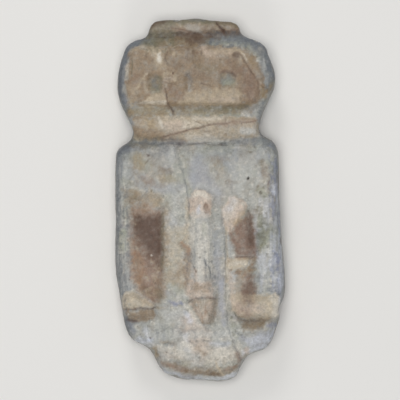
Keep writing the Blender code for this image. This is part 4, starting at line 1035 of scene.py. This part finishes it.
# How far in the carving's lines, pits, flake scars and chips go, and the tones painted into them
def carvedDepth(points):
    x, y = wandered(points)
    spacing, amount, seed = effigy["lineBreaks"]
    broken = 1.0 + amount * layeredNoise(points, spacing, seed)
    depth = np.zeros(len(points))
    fillings = []
    for lineDepth, halfWidth, tone, strength, path in effigy["lines"].values():
        toEnd = np.min([np.hypot(x - endX, y - endY) for endX, endY in (path[0], path[-1])], axis=0)
        groove = np.exp(-((pathDistance(x, y, path) / halfWidth) ** 2))
        groove *= broken * rampUp(toEnd, *effigy["lineEnds"])
        depth += lineDepth * groove
        fillings.append((tone, np.clip(strength * groove, 0.0, 1.0)))
    for pitDepth, squareness, halfX, halfY, (px, py), tone, strength in effigy["pits"].values():
        squares = np.abs((x - px) / halfX) ** squareness + np.abs((y - py) / halfY) ** squareness
        hollow = rampUp(squares ** (1 / squareness), *effigy["pitWall"])
        depth += pitDepth * hollow
        fillings.append((tone, strength * hollow))
    for scarDepth, edge, loop in effigy["scars"].values():
        depth += scarDepth * within(x, y, loop, edge)
    for chipDepth, spacing, covered, tone, strength, seed, loop in effigy["chipped"].values():
        chips = patchy(layeredNoise(points, spacing, seed, layers=2), covered, effigy["chipSoftness"])
        chips *= within(x, y, loop, effigy["outlineEdge"])
        depth += chipDepth * chips
        fillings.append((tone, strength * chips))
    return depth, fillings


# How far in the surface goes where a hand has worked it and the weather has worn it
def wornDepth(points, normals):
    depth = np.zeros(len(points))
    for spacing, amount, seed in effigy["waver"]:
        depth += amount * (effigy["waverInwards"] + latticeNoise(points, spacing, seed))
    spacing, amount, seed = effigy["pecking"]
    pecks = amount * rampUp(latticeNoise(points, spacing, seed), *effigy["peckRise"])
    spacing, least, seed = effigy["peckPlaces"]
    depth += pecks * (least + rampUp(latticeNoise(points, spacing, seed), *effigy["peckPlacesRise"]))
    sideness = rampUp(1.0 - np.abs(normals[:, 2]), *effigy["sideness"])
    spacing, amount, seed = effigy["edgeNicks"]
    depth += amount * sideness * rampUp(layeredNoise(points, spacing, seed), *effigy["nickRise"])
    spacing, amount, seed = effigy["bedding"]
    stretched = points * effigy["beddingStretch"]
    return depth + amount * sideness * layeredNoise(stretched, spacing, seed, layers=2)


# Carves the fine relief. Nearly all of it goes inwards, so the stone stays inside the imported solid's box
def carveStone(stone):
    mesh = stone.data
    points = smoothed(mesh, pointsOf(mesh), *effigy["facetSmoothing"])
    movePoints(mesh, points)
    normals = normalsOf(mesh)
    depth, fillings = carvedDepth(points)
    depth *= rampUp(normals[:, 2], *effigy["plungeFrom"])
    depth += wornDepth(points, normals)
    points -= normals * depth[:, None]
    movePoints(mesh, points)
    return fillings


def paint(shares, tone, cover, near=slice(None)):  # covers this much of what is there already with a tone
    shares[near] *= 1.0 - cover[:, None]
    shares[near, list(effigy["tones"]).index(tone)] += cover


def paintClouds(shares, points, clouds, softness, showing=1.0):
    for tone, strength, spacing, covered, seed in clouds.values():
        cloud = patchy(layeredNoise(points, spacing, seed), covered, softness)
        paint(shares, tone, strength * showing * cloud)


# Paints slate onto the rims as painted shade, by which way each rim faces
def paintRimShade(shares, mesh, normals, backness):
    tone, steep, level = effigy["rimShadeTone"]
    broad = smoothed(mesh, normals, effigy["rimRounds"])
    strength = np.interp(broad[:, 1], *zip(*effigy["rimShadeStrength"]))
    strength *= np.interp(broad[:, 0], *zip(*effigy["rimShadeSides"]))
    strength *= 1.0 - effigy["rimShadeOnBack"] * backness
    paint(shares, tone, strength * (1.0 - rampUp(broad[:, 2], steep, level)))


def paintStainsAndShading(shares, points, frontness):
    x, y = wandered(points)
    spacing, amount, seed = effigy["raggedness"]
    ragged = amount * layeredNoise(points, spacing, seed)
    spacing, amount, seed = effigy["thinness"]
    least, middle, most = effigy["thinnessRange"]
    thickness = middle + amount * layeredNoise(points, spacing, seed, layers=2)
    showing = frontness * np.clip(thickness, least, most)
    for tone, strength, edge, shape in effigy["stains"]:
        near = nearShape(x, y, shape, edge)
        depth = depthInShape(x[near], y[near], shape) + min(edge, effigy["raggedUpTo"]) * ragged[near]
        paint(shares, tone, strength * showing[near] * rampUp(depth, -edge / 2, edge / 2), near)


def paintStreaks(shares, points, frontness):
    x, y = wandered(points)
    upright = points / (1.0, effigy["streakStretch"], 1.0)
    for tone, strength, spacing, covered, seed, loop in effigy["streaks"].values():
        near = nearShape(x, y, loop, effigy["outlineEdge"])
        noise = layeredNoise(upright[near], spacing, seed, layers=2)
        streak = patchy(noise, covered, effigy["streakSoftness"])
        streak *= within(x[near], y[near], loop, effigy["outlineEdge"])
        paint(shares, tone, strength * streak * frontness[near], near)


# Paints the tones over each other and returns each one's share of the colour at every point
def paintStone(stone, fillings):
    mesh = stone.data
    points = pointsOf(mesh)
    normals = smoothed(mesh, normalsOf(mesh), effigy["normalRounds"])
    frontness = rampUp(normals[:, 2], *effigy["stainsFrom"])
    backness = rampUp(-normals[:, 2], *effigy["backFrom"])
    shares = np.zeros((len(points), len(effigy["tones"])))
    shares[:, 0] = 1.0
    paintClouds(shares, points, effigy["clouds"], effigy["cloudSoftness"])
    paintClouds(shares, points, effigy["backClouds"], effigy["backSoftness"], backness)
    paintRimShade(shares, mesh, normals, backness)
    paintStainsAndShading(shares, points, frontness)
    paintStreaks(shares, points, frontness)
    for tone, cover in fillings:
        paint(shares, tone, cover * frontness)
    return shares


def storeValues(stone, name, values):
    layer = stone.data.attributes.new(name, "FLOAT", "POINT")
    layer.data.foreach_set("value", values.astype(np.float32))


# Turns the tones' shares into one mask for each tone after the first, to be mixed in their order
def storeMasks(stone, shares):
    tones = list(effigy["tones"])
    left = np.ones(len(shares))
    smallest = 1e-6  # keeps the division safe where nothing is left
    for index in reversed(range(1, len(tones))):
        mask = shares[:, index] / np.maximum(left, smallest)
        storeValues(stone, tones[index] + "Mask", np.clip(mask, 0.0, 1.0))
        left -= shares[:, index]


# How hollow or proud each point is, against the surface smoothed over a few millimetres
# From it the shader paints highlight on what stands proud and shade in hollows, and makes what stands proud
# smoother
def storeShadeAndWear(stone):
    mesh = stone.data
    points = pointsOf(mesh)
    rounds, height = effigy["proudness"]
    proud = np.sum((points - smoothed(mesh, points, rounds)) * normalsOf(mesh), axis=1)
    storeValues(stone, "proudness", np.clip(proud / height, -1.0, 1.0))


# How strong the material's grain is at each point
def storeGrain(stone):
    points = pointsOf(stone.data)
    strength = np.ones(len(points))
    for share, loop in effigy["calmPlaces"].values():
        strength *= 1.0 + (share - 1.0) * within(points[:, 0], points[:, 1], loop, effigy["calmEdge"])
    storeValues(stone, "grainStrength", strength)


def stoneMaterial():
    material = bpy.data.materials.new("wornGreyStone")
    material.use_nodes = True
    tree = material.node_tree
    shader = tree.nodes["Principled BSDF"]
    shader.inputs["Specular IOR Level"].default_value = effigy["specularLevel"]
    wire = Wire(tree)
    place = wire.node("ShaderNodeTexCoord", output="Object")
    mottle = wire.grain(place, *effigy["mottle"])
    fine = wire.grain(place, *effigy["fineGrain"])
    flecks = wire.grain(place, *effigy["flecks"])
    names = list(effigy["tones"])
    colour = linearColour(*effigy["tones"][names[0]])
    for name in names[1:]:
        mask = wire.stored(name + "Mask")
        ragged = (mask + (mottle - 0.5) * (mask * (1 - mask)) * effigy["toneRaggedness"]).limited()
        colour = wire.mixed(colour, linearColour(*effigy["tones"][name]), ragged)
    proud = wire.stored("proudness")
    specks = flecks.between(*effigy["fleckRise"]) - (1 - flecks).between(*effigy["fleckRise"])
    grain = ((mottle - 0.5) * effigy["mottleShare"] + (fine - 0.5) * effigy["fineShare"]
             + specks * effigy["fleckShare"])
    # painted highlight on what stands proud and painted shade in hollows, with the grain
    bright = 1.0 + proud * effigy["proudLightHollowShade"] + grain * wire.stored("grainStrength")
    tree.links.new(colour.brightened(bright).socket, shader.inputs["Base Color"])
    dull = effigy["roughness"] + (mottle - 0.5) * effigy["mottledRoughness"] - proud * effigy["proudGloss"]
    tree.links.new(dull.limited().socket, shader.inputs["Roughness"])
    bump = wire.node("ShaderNodeBump", None,
                     {"Strength": 1.0, "Distance": effigy["grainDepth"] * mm, "Height": fine + mottle})
    tree.links.new(bump.socket, shader.inputs["Normal"])
    return material


def makeEffigy():
    stone = evenStone()
    print("even stone:", len(stone.data.vertices), "points")
    fillings = carveStone(stone)
    print("carved")
    storeMasks(stone, paintStone(stone, fillings))
    storeShadeAndWear(stone)
    storeGrain(stone)
    print("painted")
    stone.data.materials.clear()
    stone.data.materials.append(stoneMaterial())
    stone.data.shade_smooth()
    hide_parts("owl_effigy")
    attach(stone, "root")


# The floor

paleFloor = {
    "radius": 9000.0,
    "sides": 96,
    "colour": (0.80, 0.79, 0.77),
    "cloud": (350.0, 2.0, 0.55),  # spacing, detail and roughness of the noise of its faint clouds
    "cloudBrightness": 0.96,
    "roughness": 0.85,
}


def floorMaterial():
    material = bpy.data.materials.new("paleStudioFloor")
    material.use_nodes = True
    tree = material.node_tree
    shader = tree.nodes["Principled BSDF"]
    wire = Wire(tree)
    place = wire.node("ShaderNodeTexCoord", output="Object")
    pale = paleFloor["colour"]
    clouded = [part * paleFloor["cloudBrightness"] for part in pale]
    colour = wire.mixed((*pale, 1.0), (*clouded, 1.0), wire.grain(place, *paleFloor["cloud"]))
    tree.links.new(colour.socket, shader.inputs["Base Color"])
    shader.inputs["Roughness"].default_value = paleFloor["roughness"]
    return material


def makeFloor():
    radius = paleFloor["radius"] * mm
    bpy.ops.mesh.primitive_circle_add(vertices=paleFloor["sides"], radius=radius, fill_type="NGON")
    floor = bpy.context.active_object
    floor.name = "studioFloor"
    floor.data.materials.append(floorMaterial())


placeCamera()
placeLights()
makeFloor()
print("camera, lights and floor in place")
makeEffigy()
